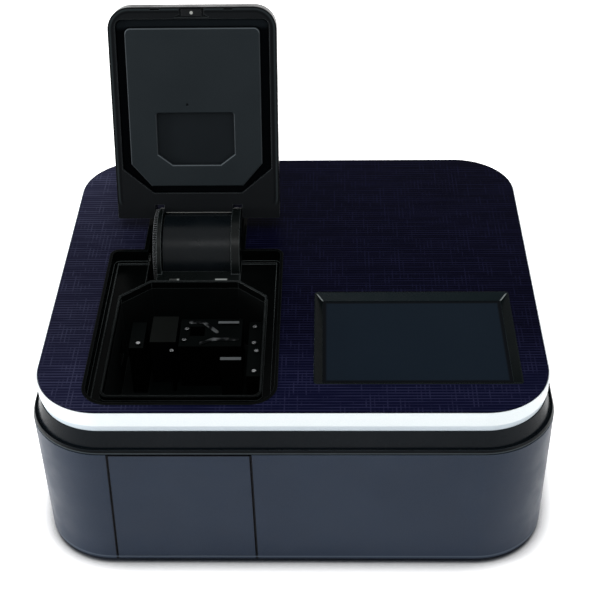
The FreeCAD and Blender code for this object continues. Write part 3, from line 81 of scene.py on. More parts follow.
class Graph:
    """A small helper for wiring a material's nodes."""

    def __init__(self, name):
        self.material = bpy.data.materials.new(name)
        self.material.use_nodes = True
        self.tree = self.material.node_tree
        self.tree.nodes.clear()
        self.output = self.tree.nodes.new("ShaderNodeOutputMaterial")
        self.shader = self.tree.nodes.new("ShaderNodeBsdfPrincipled")
        self.link(self.shader.outputs["BSDF"], self.output.inputs["Surface"])
        self.coordinates = self.tree.nodes.new("ShaderNodeTexCoord")
        self.place = self.coordinates.outputs["Object"]
        self.bevel_node = None

    def link(self, source, target):
        self.tree.links.new(source, target)

    def put(self, value, socket):
        """Sets a socket from another node's output or from a plain value."""
        if isinstance(value, bpy.types.NodeSocket):
            self.link(value, socket)
        else:
            socket.default_value = value

    def math(self, operation, first, second=0.0):
        node = self.tree.nodes.new("ShaderNodeMath")
        node.operation = operation
        self.put(first, node.inputs[0])
        self.put(second, node.inputs[1])
        return node.outputs[0]

    def times(self, first, second):
        return self.math("MULTIPLY", first, second)

    def distance(self, value, middle):
        """How far a value is from a middle, on either side."""
        return self.math("ABSOLUTE", self.math("SUBTRACT", value, middle))

    def length(self, first, second):
        """The length of the diagonal of two distances."""
        squares = self.math(
            "ADD", self.math("POWER", first, 2.0), self.math("POWER", second, 2.0)
        )
        return self.math("SQRT", squares)

    def axis(self, index):
        node = self.tree.nodes.new("ShaderNodeSeparateXYZ")
        self.link(self.place, node.inputs[0])
        return node.outputs[index]

    def dot(self, vector, direction):
        node = self.tree.nodes.new("ShaderNodeVectorMath")
        node.operation = "DOT_PRODUCT"
        self.put(vector, node.inputs[0])
        self.put(direction, node.inputs[1])
        return node.outputs["Value"]

    def along(self, direction, origin):
        """The distance of a point along a direction, from an origin."""
        offset = sum(a * b for a, b in zip(direction, origin))
        return self.math("SUBTRACT", self.dot(self.place, direction), offset)

    def facing(self, direction):
        """How far a face looks in a direction, from -1 to 1."""
        return self.dot(self.coordinates.outputs["Normal"], direction)

    def noise(self, scale, detail=2.0, stretch=None):
        node = self.tree.nodes.new("ShaderNodeTexNoise")
        node.inputs["Scale"].default_value = scale
        node.inputs["Detail"].default_value = detail
        place = self.place
        if stretch is not None:
            mapping = self.tree.nodes.new("ShaderNodeMapping")
            mapping.inputs["Scale"].default_value = stretch
            self.link(place, mapping.inputs["Vector"])
            place = mapping.outputs[0]
        self.link(place, node.inputs["Vector"])
        return node.outputs["Fac"]

    def ramp(self, value, low, high, to_low=0.0, to_high=1.0):
        node = self.tree.nodes.new("ShaderNodeMapRange")
        node.interpolation_type = "SMOOTHSTEP"
        self.put(value, node.inputs["Value"])
        node.inputs["From Min"].default_value = low
        node.inputs["From Max"].default_value = high
        node.inputs["To Min"].default_value = to_low
        node.inputs["To Max"].default_value = to_high
        return node.outputs[0]

    def band(self, value, start, end, soft):
        """One between two values, falling to nothing outside them."""
        rise = self.ramp(value, start - soft, start + soft)
        fall = self.ramp(value, end - soft, end + soft, 1.0, 0.0)
        return self.times(rise, fall)

    def rounded_box(self, across, along, half_across, half_along, radius):
        """The distance outside a rounded rectangle, less than nothing inside it."""
        side = self.math("SUBTRACT", self.math("ABSOLUTE", across), half_across - radius)
        end = self.math("SUBTRACT", self.math("ABSOLUTE", along), half_along - radius)
        outer = self.length(self.math("MAXIMUM", side, 0.0), self.math("MAXIMUM", end, 0.0))
        inner = self.math("MINIMUM", self.math("MAXIMUM", side, end), 0.0)
        return self.math("SUBTRACT", self.math("ADD", outer, inner), radius)

    def mix(self, amount, first, second):
        node = self.tree.nodes.new("ShaderNodeMix")
        node.data_type = "RGBA"
        self.put(amount, node.inputs["Factor"])
        self.put(first, node.inputs["A"])
        self.put(second, node.inputs["B"])
        return node.outputs["Result"]

    def tint(self, base, mask, colour, strength=1.0):
        """The base, turned to a screen colour where the mask is one."""
        if strength != 1.0:
            mask = self.times(mask, strength)
        return self.mix(mask, base, srgb(*colour))

    def round_corners(self, radius):
        """The softened normal of a moulded edge."""
        self.bevel_node = self.tree.nodes.new("ShaderNodeBevel")
        self.bevel_node.samples = 6
        self.bevel_node.inputs["Radius"].default_value = radius
        self.link(self.bevel_node.outputs[0], self.shader.inputs["Normal"])

    def edges(self):
        """One on the edges that round_corners softens, nothing on the faces between them."""
        geometry = self.tree.nodes.new("ShaderNodeNewGeometry")
        likeness = self.dot(self.bevel_node.outputs[0], geometry.outputs["Normal"])
        unbent, bent = 0.995, 0.90
        return self.ramp(likeness, unbent, bent)

    def bump(self, height, distance, strength=1.0):
        node = self.tree.nodes.new("ShaderNodeBump")
        node.inputs["Distance"].default_value = distance
        node.inputs["Strength"].default_value = strength
        self.link(height, node.inputs["Height"])
        if self.bevel_node is not None:
            self.link(self.bevel_node.outputs[0], node.inputs["Normal"])
        self.link(node.outputs[0], self.shader.inputs["Normal"])

    def finish(self, colour, roughness, specular=0.5, metallic=0.0):
        self.put(colour, self.shader.inputs["Base Color"])
        self.put(roughness, self.shader.inputs["Roughness"])
        self.shader.inputs["Specular IOR Level"].default_value = specular
        self.shader.inputs["Metallic"].default_value = metallic
        return self.material


# Looks. Colours are 0-255 screen values; grain and noise scales are per metre.


def plastic_base(
    graph,
    colour,
    lighter,
    grain=1600.0,
    depth=0.00002,
    edge_radius=0.0005,
    edge_colour=None,
    edge_strength=0.8,
):
    """Faintly cloudy colour with a spark-eroded grain, and lighter edges that are partly wear and
    partly a painted highlight.
    """
    cloud = graph.noise(14.0, 3.0)
    fine = graph.noise(grain, 2.0)
    shade = graph.ramp(cloud, 0.35, 0.68)
    base = graph.mix(shade, srgb(*colour), srgb(*lighter))
    speckle = [min(255, value * 1.15 + 2) for value in lighter]
    base = graph.tint(base, graph.ramp(fine, 0.42, 0.66, 0.0, 0.3), speckle)
    graph.round_corners(edge_radius)
    graph.bump(fine, depth, 0.6)
    if edge_colour is not None:
        # The lighter edges are partly wear and partly a painted highlight, patchy along their
        # length
        paleness = graph.ramp(graph.noise(45.0, 2.0), 0.3, 0.6, 0.6, 1.0)
        edge_wear_and_highlight = graph.times(graph.edges(), paleness)
        base = graph.tint(base, edge_wear_and_highlight, edge_colour, edge_strength)
    return base


def uneven(graph, rough, spread=0.05):
    """A roughness that wanders a little round a middle value."""
    return graph.ramp(graph.noise(60.0, 3.0), 0.3, 0.7, rough - spread, rough + spread)


def moulded(name, colour, lighter, rough, specular, **surface):
    """Moulded plastic with uneven gloss. The surface options are those of plastic_base."""
    graph = Graph(name)
    base = plastic_base(graph, colour, lighter, **surface)
    return graph.finish(base, uneven(graph, rough), specular)


# The service panel's two upright seams lean with the housing's draft: x at the foot and at
# the top. The masks run from where they start to where they are full.
SEAM_LOW_Z = 0.009
SEAM_HIGH_Z = 0.1234
SEAMS = ((-0.1442, -0.1416), (-0.0304, -0.0314))
SEAM_REACH = (0.0013, 0.0008)
TOP_SEAM_Z = (0.1224, 0.1240)
TOP_SEAM_HALF = (0.0556, 0.0550)
PANEL_MIDDLE_X = -0.0865
FRONT_WALL_Y = (-0.172, -0.176)
# Where the painted highlight along the housing's foot runs
FOOT_HIGHLIGHT_Z = (0.0078, 0.0092)


def upright_seams(graph):
    """One on the service panel's two upright seams, nothing away from them."""
    near = []
    for low_x, high_x in SEAMS:
        slope = (high_x - low_x) / (SEAM_HIGH_Z - SEAM_LOW_Z)
        up_the_face = graph.math("SUBTRACT", graph.axis(2), SEAM_LOW_Z)
        line = graph.math("ADD", graph.times(up_the_face, slope), low_x)
        near.append(graph.ramp(graph.distance(graph.axis(0), line), *SEAM_REACH))
    return graph.math("MAXIMUM", *near)


def housing_plastic(name):
    """The slate housing: black in the service panel's seams, with a painted highlight along its
    foot.
    """
    graph = Graph(name)
    base = plastic_base(
        graph,
        (28, 38, 53),
        (32, 42, 57),
        grain=1500.0,
        edge_radius=0.0006,
        edge_colour=(84, 96, 108),
        edge_strength=0.7,
    )
    height = graph.axis(2)
    over_panel = graph.ramp(graph.distance(graph.axis(0), PANEL_MIDDLE_X), *TOP_SEAM_HALF)
    top_seam = graph.times(graph.band(height, *TOP_SEAM_Z, 0.0003), over_panel)
    seams = graph.math("MAXIMUM", upright_seams(graph), top_seam)
    seams = graph.times(seams, graph.ramp(graph.axis(1), *FRONT_WALL_Y))
    base = graph.tint(base, seams, (3, 4, 8))
    graph.link(graph.tint(WHITE, seams, (10, 10, 10)), graph.shader.inputs["Specular Tint"])
    # A painted highlight along the housing's foot
    base = graph.tint(base, graph.band(height, *FOOT_HIGHLIGHT_Z, 0.0004), (86, 96, 108), 0.5)
    return graph.finish(base, uneven(graph, 0.38), 0.1)


COLLAR_GROOVE_SHADE_Z = (0.1252, 0.1268)
COLLAR_BEAD_HIGHLIGHT_Z = (0.1246, 0.1252)


def collar_plastic(name):
    """The charcoal collar, with painted shade in its groove and a painted highlight on the bead
    where its slope ends.
    """
    graph = Graph(name)
    base = plastic_base(
        graph,
        (5, 10, 15),
        (9, 14, 19),
        grain=1500.0,
        depth=0.00001,
        edge_radius=0.0006,
        edge_colour=(52, 60, 66),
        edge_strength=0.6,
    )
    height = graph.axis(2)
    # Painted shade in the groove, then a painted highlight on the bead below it
    base = graph.tint(base, graph.band(height, *COLLAR_GROOVE_SHADE_Z, 0.0004), (6, 8, 10), 0.8)
    base = graph.tint(base, graph.band(height, *COLLAR_BEAD_HIGHLIGHT_Z, 0.0002), (70, 78, 82), 0.7)
    return graph.finish(base, uneven(graph, 0.27), 0.07)


RING_BEVEL_SHADE_Z = (0.1484, 0.1464)


def ring_plastic(name):
    """The white trim: clean, with blue-grey painted shade on its lower bevel, which faces down."""
    graph = Graph(name)
    fine = graph.noise(1200.0, 1.0)
    base = graph.mix(graph.ramp(fine, 0.4, 0.6), srgb(236, 244, 247), srgb(240, 247, 250))
    # Painted shade on the lower bevel
    base = graph.tint(base, graph.ramp(graph.axis(2), *RING_BEVEL_SHADE_Z), (206, 218, 226))
    graph.round_corners(0.0005)
    graph.bump(fine, 0.000004, 0.4)
    return graph.finish(base, uneven(graph, 0.3, 0.02), 0.3)


def metal(name, colour, lighter, rough, brushed=(1.0, 1.0, 1.0)):
    """Bare or plated metal with fine brushing along one axis and a few dull patches."""
    graph = Graph(name)
    line = graph.noise(900.0, 3.0, brushed)
    cloud = graph.noise(25.0, 3.0)
    streaks = graph.times(graph.ramp(line, 0.3, 0.7), 0.6)
    tone = graph.math("ADD", streaks, graph.ramp(cloud, 0.4, 0.7, 0.0, 0.4))
    graph.round_corners(0.0003)
    graph.bump(line, 0.00001, 0.5)
    base = graph.mix(tone, srgb(*colour), srgb(*lighter))
    gloss = graph.ramp(line, 0.3, 0.7, rough - 0.06, rough + 0.1)
    return graph.finish(base, gloss, metallic=1.0)


# How far a face has to look up to count as a top
TOP_FACING = (0.6, 0.9)


def fitting_black(name, lit_top_colour, shaded_side_colour, rough, specular):
    """Anodised fittings in the well: their tops painted lighter as light from above, their sides
    painted darker as shade.
    """
    graph = Graph(name)
    # Lit tops and shaded sides: painted light and painted shade on one finish
    tops = graph.ramp(graph.facing(UP), *TOP_FACING)
    cloud = graph.noise(70.0, 3.0)
    top = graph.tint(srgb(*lit_top_colour), cloud, [value * 0.7 for value in lit_top_colour])
    side = graph.tint(srgb(*shaded_side_colour), cloud, [value * 0.6 for value in shaded_side_colour])
    graph.round_corners(0.0003)
    graph.bump(graph.noise(2400.0, 2.0), 0.00001, 0.5)
    return graph.finish(graph.mix(tops, side, top), uneven(graph, rough), specular)


# The plate's printed grid, and where its painted sheen, a painted reflection, and its bluer front
# start and end
WEAVE_PITCH = 0.00325
PAINTED_SHEEN_LEFT_X = (-0.06, -0.20)
PAINTED_SHEEN_BACK_Y = (0.02, 0.18)
BLUE_FRONT_Y = (-0.07, -0.16)


def woven_plate(name):
    """Navy plate under a fine printed grid of lighter lines, broken here and there, with a painted
    sheen towards the back left.
    """
    graph = Graph(name)
    lines = []
    for index in (0, 1):
        step = graph.math("FRACT", graph.math("DIVIDE", graph.axis(index), WEAVE_PITCH))
        lines.append(graph.ramp(graph.distance(step, 0.5), 0.26, 0.04))
    breaks_x = graph.ramp(graph.noise(60.0, 3.0, (0.3, 4.5, 1.0)), 0.38, 0.60, 0.35, 1.0)
    breaks_y = graph.ramp(graph.noise(90.0, 3.0, (2.0, 0.8, 1.0)), 0.46, 0.66, 0.0, 0.75)
    along_y = graph.times(lines[0], breaks_y)
    along_x = graph.times(lines[1], breaks_x)
    grid = graph.math("MAXIMUM", along_x, along_y)

    # A painted sheen, a painted reflection, lighter towards the back left
    left = graph.ramp(graph.axis(0), *PAINTED_SHEEN_LEFT_X)
    back = graph.ramp(graph.axis(1), *PAINTED_SHEEN_BACK_Y, 0.35, 1.0)
    painted_sheen = graph.times(left, back)
    front = graph.ramp(graph.axis(1), *BLUE_FRONT_Y)
    field = graph.mix(graph.noise(9.0, 2.0), srgb(1, 1, 13), srgb(3, 3, 17))
    field = graph.tint(field, front, (6, 8, 30))
    field = graph.tint(field, painted_sheen, (36, 37, 58))
    line = graph.mix(front, srgb(18, 19, 40), srgb(33, 34, 58))
    line = graph.tint(line, painted_sheen, (74, 76, 98))
    graph.bump(grid, 0.00003, 0.5)
    return graph.finish(graph.mix(grid, field, line), graph.ramp(grid, 0.0, 1.0, 0.36, 0.5), 0.008)


BEZEL_LIP_HIGHLIGHT_Z = (0.1565, 0.1555)
BEZEL_LIP_HIGHLIGHT_Y = (-0.09, -0.03)


def gloss_bezel(name):
    """The glossy black recess round the well: dim painted highlights on its rims, a lighter
    painted highlight on its lip.
    """
    graph = Graph(name)
    base = plastic_base(
        graph,
        (2, 3, 3),
        (4, 5, 5),
        grain=1800.0,
        depth=0.000004,
        edge_radius=0.0006,
        edge_colour=(34, 38, 39),
    )
    # A painted highlight along the lower lip, stronger towards the back
    low = graph.ramp(graph.axis(2), *BEZEL_LIP_HIGHLIGHT_Z)
    rear = graph.ramp(graph.axis(1), *BEZEL_LIP_HIGHLIGHT_Y, 0.3, 0.85)
    lip_highlight = graph.times(graph.edges(), graph.times(low, rear))
    base = graph.tint(base, lip_highlight, (88, 94, 95))
    return graph.finish(base, uneven(graph, 0.2, 0.03), 0.013)


# Where the painted highlight dashes on the screen frame's mitres run
MITRE_HALF_WIDTH = (0.0012, 0.0004)
MITRE_DASH = (0.002, 0.0065)


def screen_frame_plastic(name):
    """The screen's sloped frame: its rear slope is painted lighter as lit, with painted highlights
    in short dashes on its mitres.
    """
    graph = Graph(name)
    base = plastic_base(graph, (4, 8, 9), (7, 11, 12), depth=0.00001, edge_colour=(40, 48, 50))
    low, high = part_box("screen_bezel")
    # The rear slope, which faces the front, painted lighter as lit
    lit_rear_slope = graph.ramp(graph.facing(TO_FRONT), 0.25, 0.5)
    base = graph.tint(base, lit_rear_slope, (15, 23, 26))
    from_middle = graph.distance(graph.axis(0), (low[0] + high[0]) / 2)
    from_side = graph.math("SUBTRACT", (high[0] - low[0]) / 2, from_middle)
    from_back = graph.math("SUBTRACT", high[1], graph.axis(1))
    # Painted highlights: short dashes along the two rear mitres
    on_mitre = graph.ramp(graph.distance(from_side, from_back), *MITRE_HALF_WIDTH)
    mitre_highlights = graph.times(on_mitre, graph.band(from_back, *MITRE_DASH, 0.0008))
    base = graph.tint(base, mitre_highlights, (140, 146, 146), 0.7)
    return graph.finish(base, uneven(graph, 0.24), 0.022)


def screw_heads(name):
    """Bright screw heads, with their shanks painted dark as shade in the well."""
    graph = Graph(name)
    tops = graph.ramp(graph.facing(UP), *TOP_FACING)
    swirl = graph.noise(900.0, 3.0)
    bright = graph.mix(swirl, srgb(168, 170, 172), srgb(204, 206, 208))
    # The shanks, the same steel as the heads, painted dark as shade
    base = graph.mix(tops, srgb(22, 24, 25), bright)
    graph.round_corners(0.0003)
    graph.bump(swirl, 0.00001, 0.4)
    return graph.finish(base, graph.ramp(swirl, 0.3, 0.7, 0.2, 0.34), metallic=1.0)


def leaf_steel(name):
    """Rolled leaf springs, with painted highlights in patches and dull, dark steel between them.
    """
    graph = Graph(name)
    # Painted highlights in patches
    highlight_patches = graph.ramp(graph.noise(95.0, 2.0), 0.42, 0.62)
    rolled = graph.noise(900.0, 3.0, (1.0, 10.0, 1.0))
    bright = graph.mix(rolled, srgb(128, 132, 134), srgb(170, 174, 176))
    base = graph.mix(highlight_patches, srgb(26, 28, 29), bright)
    graph.round_corners(0.0003)
    graph.bump(rolled, 0.00001, 0.5)
    return graph.finish(base, graph.ramp(rolled, 0.3, 0.7, 0.26, 0.4), metallic=1.0)


# The lid frame's outline, in the lid's own directions from the hinge axis
LID_MIDDLE = 0.12175
LID_HALF_ACROSS = 0.0716
LID_HALF_ALONG = 0.09275
LID_CORNER = 0.019

# Painted shade and highlight lines that follow the outline: where each starts and ends inside it,
# and how softly
LID_RIM_SHADE = (-0.0009, 0.002, 0.0003)
LID_BEAD_HIGHLIGHT = (-0.0026, -0.0013, 0.0005)
LID_VALLEY_SHADE = (-0.0049, -0.0033, 0.0005)
LID_HINGE_END = (-0.040, -0.046)
LID_FREE_END = (-0.194, -0.199)
LID_FACE_DEEP = (0.0052, 0.0047)
LID_CHANNEL_DEEP = (0.0058, 0.0075)

# The painted highlight on the frame's edge over the drum, and where the cheeks end it
DRUM_EDGE_HIGHLIGHT_ALONG = (-0.0346, -0.0335)
DRUM_EDGE_HIGHLIGHT_HALF = (0.0292, 0.0285)


def lid_frame_plastic(name):
    """The lid's frame: a painted highlight and painted shade for a rolled outer bead, a channel
    painted dark as shade, and thin painted highlights on its edges.
    """
    graph = Graph(name)
    base = plastic_base(
        graph,
        (13, 15, 17),
        (16, 18, 20),
        depth=0.00001,
        edge_radius=0.0004,
        edge_colour=(80, 86, 88),
        edge_strength=0.85,
    )
    across = graph.along(LID_ACROSS, LID_ORIGIN)
    along = graph.along(LID_ALONG, LID_ORIGIN)
    deep = graph.along(LID_DEEP, LID_ORIGIN)
    outside = graph.rounded_box(
        across,
        graph.math("ADD", along, LID_MIDDLE),
        LID_HALF_ACROSS,
        LID_HALF_ALONG,
        LID_CORNER,
    )
    on_face = graph.ramp(deep, *LID_FACE_DEEP)
    above_hinge = graph.ramp(along, *LID_HINGE_END)
    # Painted shade in the valley and on the rim, a painted highlight on the bead between them
    for line, colour, strength in (
        (LID_VALLEY_SHADE, (6, 8, 10), 0.8),
        (LID_BEAD_HIGHLIGHT, (36, 42, 44), 0.8),
        (LID_RIM_SHADE, (8, 9, 11), 0.9),
    ):
        mask = graph.times(graph.times(graph.band(outside, *line), on_face), above_hinge)
        base = graph.tint(base, mask, colour, strength)

    # A painted highlight on the frame's edge over the drum
    over_drum = graph.band(along, *DRUM_EDGE_HIGHLIGHT_ALONG, 0.0002)
    between_cheeks = graph.ramp(graph.math("ABSOLUTE", across), *DRUM_EDGE_HIGHLIGHT_HALF)
    base = graph.tint(base, graph.times(over_drum, between_cheeks), (150, 152, 150), 0.95)

    # The channel painted dark as shade, less dark towards the free end
    free_end = graph.ramp(along, *LID_FREE_END)
    channel_shade = graph.mix(free_end, srgb(3, 5, 8), srgb(17, 21, 24))
    base = graph.mix(graph.ramp(deep, *LID_CHANNEL_DEEP), base, channel_shade)
    return graph.finish(base, uneven(graph, 0.34), 0.035)


LID_POCKET_SHADE_DEEP = (0.0042, 0.0052)


def lid_panel_plastic(name):
    """The raised panel: satin grey, with painted shade in its pocket and on its downward chamfers,
    and painted highlights on its upward chamfers below.
    """
    graph = Graph(name)
    base = plastic_base(graph, (26, 31, 34), (29, 34, 37), edge_radius=0.0004)
    chamfers = graph.band(graph.facing(LID_FRONT), 0.5, 0.9, 0.05)
    upward = graph.ramp(graph.facing(UP), 0.1, 0.6)
    lit = graph.times(chamfers, graph.ramp(upward, 0.0, 1.0, 0.25, 0.7))
    base = graph.tint(base, lit, (82, 88, 92))
    shaded = graph.times(chamfers, graph.ramp(graph.facing(UP), -0.1, -0.5))
    base = graph.tint(base, shaded, (9, 12, 14))
    # Painted shade in the pocket
    pocket_shade = graph.mix(graph.noise(40.0, 2.0), srgb(17, 21, 24), srgb(20, 24, 27))
    deep = graph.along(LID_DEEP, LID_ORIGIN)
    base = graph.mix(graph.ramp(deep, *LID_POCKET_SHADE_DEEP), base, pocket_shade)
    return graph.finish(base, uneven(graph, 0.46), 0.04)


LATCH_PIN_ALONG = 0.2097
LATCH_PIN_RADIUS = (0.0016, 0.0012)


def latch_plastic(name):
    """The catch, with a bright pin in its middle."""
    graph = Graph(name)
    base = plastic_base(
        graph,
        (9, 11, 13),
        (13, 15, 17),
        depth=0.00001,
        edge_radius=0.0003,
        edge_colour=(44, 48, 50),
        edge_strength=0.7,
    )
    across = graph.along(LID_ACROSS, LID_ORIGIN)
    along = graph.math("ADD", graph.along(LID_ALONG, LID_ORIGIN), LATCH_PIN_ALONG)
    pin = graph.ramp(graph.length(across, along), *LATCH_PIN_RADIUS)
    return graph.finish(graph.tint(base, pin, (150, 152, 148)), uneven(graph, 0.36), 0.1)


# The two pads on the apron stand in front of the others
APRON_Y = (0.02, 0.01)
RIGHT_PAD_X = (WELL_X - 0.0165, WELL_X - 0.0155)


def pad_rubber(name):
    """Rubber pads. The two on the apron are pale on top, the right one more."""
    graph = Graph(name)
    fine = graph.noise(900.0, 2.0)
    base = graph.mix(fine, srgb(14, 15, 15), srgb(20, 21, 21))
    tops = graph.ramp(graph.facing(UP), *TOP_FACING)
    paleness = graph.times(tops, graph.ramp(graph.axis(1), *APRON_Y))
    right_one = graph.ramp(graph.axis(0), *RIGHT_PAD_X, 0.1, 1.0)
    base = graph.tint(base, graph.times(paleness, right_one), (128, 132, 130))
    graph.round_corners(0.0004)
    graph.bump(fine, 0.00003, 0.6)
    return graph.finish(base, uneven(graph, 0.5), 0.25)


def seal_rubber(name):
    """The light seal in the lid's groove: painted near-black as shade, in its plain rubber colour
    at its free end.
    """
    graph = Graph(name)
    fine = graph.noise(1100.0, 2.0)
    groove_shade = graph.mix(fine, srgb(1, 2, 3), srgb(3, 4, 6))
    plain_rubber = graph.mix(fine, srgb(14, 18, 21), srgb(19, 23, 26))
    free_end = graph.ramp(graph.along(LID_ALONG, LID_ORIGIN), *LID_FREE_END)
    graph.round_corners(0.0004)
    graph.bump(fine, 0.00003, 0.6)
    return graph.finish(graph.mix(free_end, groove_shade, plain_rubber), uneven(graph, 0.6), 0.008)


# The display's dark border: how far it starts and ends from the edge of the glass
GLASS_BORDER = (0.0075, 0.0055)


def dark_glass(name):
    """The switched-off display behind its glass: a faint teal field and a darker border."""
    graph = Graph(name)
    low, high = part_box("touch_glass")
    sides = []
    for index in (0, 1):
        half = (high[index] - low[index]) / 2
        off_middle = graph.distance(graph.axis(index), (low[index] + high[index]) / 2)
        sides.append(graph.ramp(off_middle, half - GLASS_BORDER[0], half - GLASS_BORDER[1]))
    border = graph.math("MAXIMUM", *sides)
    field = graph.mix(graph.noise(12.0, 1.0), srgb(13, 22, 31), srgb(16, 25, 34))
    pixels = graph.ramp(graph.noise(2400.0, 0.0), 0.4, 0.6, 0.0, 0.25)
    field = graph.tint(field, pixels, (20, 30, 40))
    gloss = graph.ramp(graph.noise(40.0, 2.0), 0.3, 0.7, 0.10, 0.15)
    return graph.finish(graph.tint(field, border, (6, 9, 13)), gloss, 0.015)


def clear_glass(name):
    """Clear quartz with faint smears."""
    graph = Graph(name)
    smear = graph.noise(80.0, 3.0)
    base = graph.mix(smear, srgb(232, 240, 242), srgb(246, 250, 250))
    graph.shader.inputs["Transmission Weight"].default_value = 1.0
    graph.shader.inputs["IOR"].default_value = 1.46
    return graph.finish(base, graph.ramp(smear, 0.3, 0.7, 0.02, 0.08))


def circuit_board(name):
    """Green solder mask over tracks, with a few tinned pads."""
    graph = Graph(name)
    tracks = graph.noise(160.0, 1.0, (1.0, 3.0, 1.0))
    pads = graph.ramp(graph.noise(420.0, 0.0), 0.68, 0.72)
    field = graph.mix(graph.ramp(tracks, 0.48, 0.52), srgb(16, 74, 40), srgb(30, 98, 56))
    graph.bump(tracks, 0.00003, 0.5)
    base = graph.tint(field, pads, (178, 160, 96))
    return graph.finish(base, graph.ramp(tracks, 0.4, 0.6, 0.3, 0.42))


SLOT_LOOKS = {
    "slate": housing_plastic("slate_housing"),
    "charcoal": collar_plastic("charcoal_collar"),
    "white_ring": ring_plastic("white_ring"),
    "patterned_navy": woven_plate("woven_plate"),
    "gloss_black": gloss_bezel("gloss_black"),
    "matte_black": moulded(
        "matte_black", (6, 8, 8), (9, 11, 11), 0.5, 0.04, edge_colour=(46, 50, 50)
    ),
    "black_metal": fitting_black("black_anodised", (4, 6, 6), (2, 2, 2), 0.42, 0.02),
    "anodised_grey": fitting_black("grey_anodised", (14, 16, 15), (3, 3, 4), 0.45, 0.03),
    "cast_aluminium": metal(
        "machined_aluminium", (168, 170, 172), (196, 198, 200), 0.38, (1.0, 14.0, 1.0)
    ),
    "zinc_steel": metal("zinc_plate", (160, 164, 168), (190, 192, 190), 0.34),
    "screw_steel": metal("screw_steel", (176, 178, 180), (206, 208, 210), 0.22),
    "brass": metal("brass_pins", (182, 148, 78), (214, 182, 112), 0.28),
    "rubber": moulded(
        "rubber", (13, 14, 14), (19, 20, 20), 0.62, 0.2, grain=900.0, depth=0.00004
    ),
    "bush": moulded("bush_plastic", (206, 200, 180), (218, 213, 196), 0.4, 0.3),
    "quartz": clear_glass("quartz"),
    "screen_glass": dark_glass("screen_glass"),
    "board_green": circuit_board("board_green"),
    "lid_black": lid_frame_plastic("lid_frame_black"),
}

# Nodes that look different from the rest of their slot
NODE_LOOKS = {
    "lid_drum": moulded(
        "satin_drum",
        (6, 10, 13),
        (9, 13, 16),
        0.3,
        0.12,
        depth=0.00001,
        edge_colour=(60, 66, 68),
    ),
    # The bracket's pale edge colour is mostly a painted highlight on the cheeks' edges
    "hinge_bracket": moulded(
        "satin_bracket", (6, 9, 9), (9, 12, 12), 0.3, 0.11, edge_colour=(104, 112, 114)
    ),
    "lid_gasket": seal_rubber("seal_rubber"),
    "cell_springs": leaf_steel("leaf_steel"),
    "cell_screws": screw_heads("screw_heads"),
    "clamp_bars": fitting_black("clamp_black", (92, 96, 98), (4, 5, 5), 0.4, 0.03),
    "latch_block": latch_plastic("latch_black"),
    "lid_inner_panel": lid_panel_plastic("lid_panel_grey"),
    "lid_outer_shell": moulded(
        "lid_shell_black", (10, 12, 14), (13, 15, 17), 0.26, 0.08, depth=0.00001
    ),
    "lid_pads": pad_rubber("pad_rubber"),
    "screen_bezel": screen_frame_plastic("screen_frame_black"),
}

node_slots = {}
for entry in frame["record"]["subparts"]:
    node_slots[entry["node"]] = entry["material_slot"]
for name, node in nodes.items():
    look = NODE_LOOKS[name] if name in NODE_LOOKS else SLOT_LOOKS[node_slots[name]]
    node.data.materials.clear()
    node.data.materials.append(look)


# The added pieces: a ribbed wheel on the left end of the hinge shaft, a liner round the
# hinge's opening, and foam strips behind the service panel's seams


def make_piece(name, vertices, faces, look):
    mesh = bpy.data.meshes.new(name)
    mesh.from_pydata(vertices, [], faces)
    mesh.validate()
    mesh.materials.append(look)
    piece = bpy.data.objects.new(name, mesh)
    bpy.context.scene.collection.objects.link(piece)
    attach(piece, "body")
    return piece


WHEEL_RIGHT = WELL_X - 0.0341
WHEEL_LEFT = WHEEL_RIGHT - 0.0036
WHEEL_RIBS = 108
WHEEL_BORE = 0.00405
WHEEL_FACE = 0.0358
WHEEL_CHAMFER = 0.0005
RIB_PROFILE = (0.0363, 0.0364, 0.0371, 0.0375, 0.0375, 0.0371)


def ribbed_wheel():
    """A knurled friction wheel: ribs along its rim, chamfered faces and a bore for the shaft."""
    rim = RIB_PROFILE * WHEEL_RIBS
    count = len(rim)
    bore = [WHEEL_BORE] * count
    face = [WHEEL_FACE] * count
    rings = [
        (WHEEL_RIGHT, bore),
        (WHEEL_RIGHT, face),
        (WHEEL_RIGHT - WHEEL_CHAMFER, rim),
        (WHEEL_LEFT + WHEEL_CHAMFER, rim),
        (WHEEL_LEFT, face),
        (WHEEL_LEFT, bore),
    ]
    vertices = []
    for x, radii in rings:
        for step, radius in enumerate(radii):
            angle = 2 * math.pi * step / count
            y = HINGE_Y + radius * math.cos(angle)
            z = HINGE_Z + radius * math.sin(angle)
            vertices.append((x, y, z))
    faces = []
    for ring in range(len(rings)):
        here = ring * count
        after = (ring + 1) % len(rings) * count
        for step in range(count):
            turned = (step + 1) % count
            faces.append((here + step, here + turned, after + turned, after + step))
    # The wheel's pale edge colour is a painted highlight on its ribs and chamfers
    look = moulded(
        "wheel_black",
        (7, 10, 11),
        (11, 14, 15),
        0.28,
        0.14,
        edge_radius=0.0003,
        edge_colour=(150, 154, 158),
    )
    wheel = make_piece("ribbed_wheel", vertices, faces, look)
    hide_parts("tension_nut")


LINER_LEFT = -0.1304
LINER_RIGHT = -0.1204
LINER_FRONT = 0.011
LINER_BACK = 0.0914
LINER_LOW = 0.116
LINER_HIGH = 0.1459
LINER_THICK = 0.0008
LINER_CORNER = 0.004


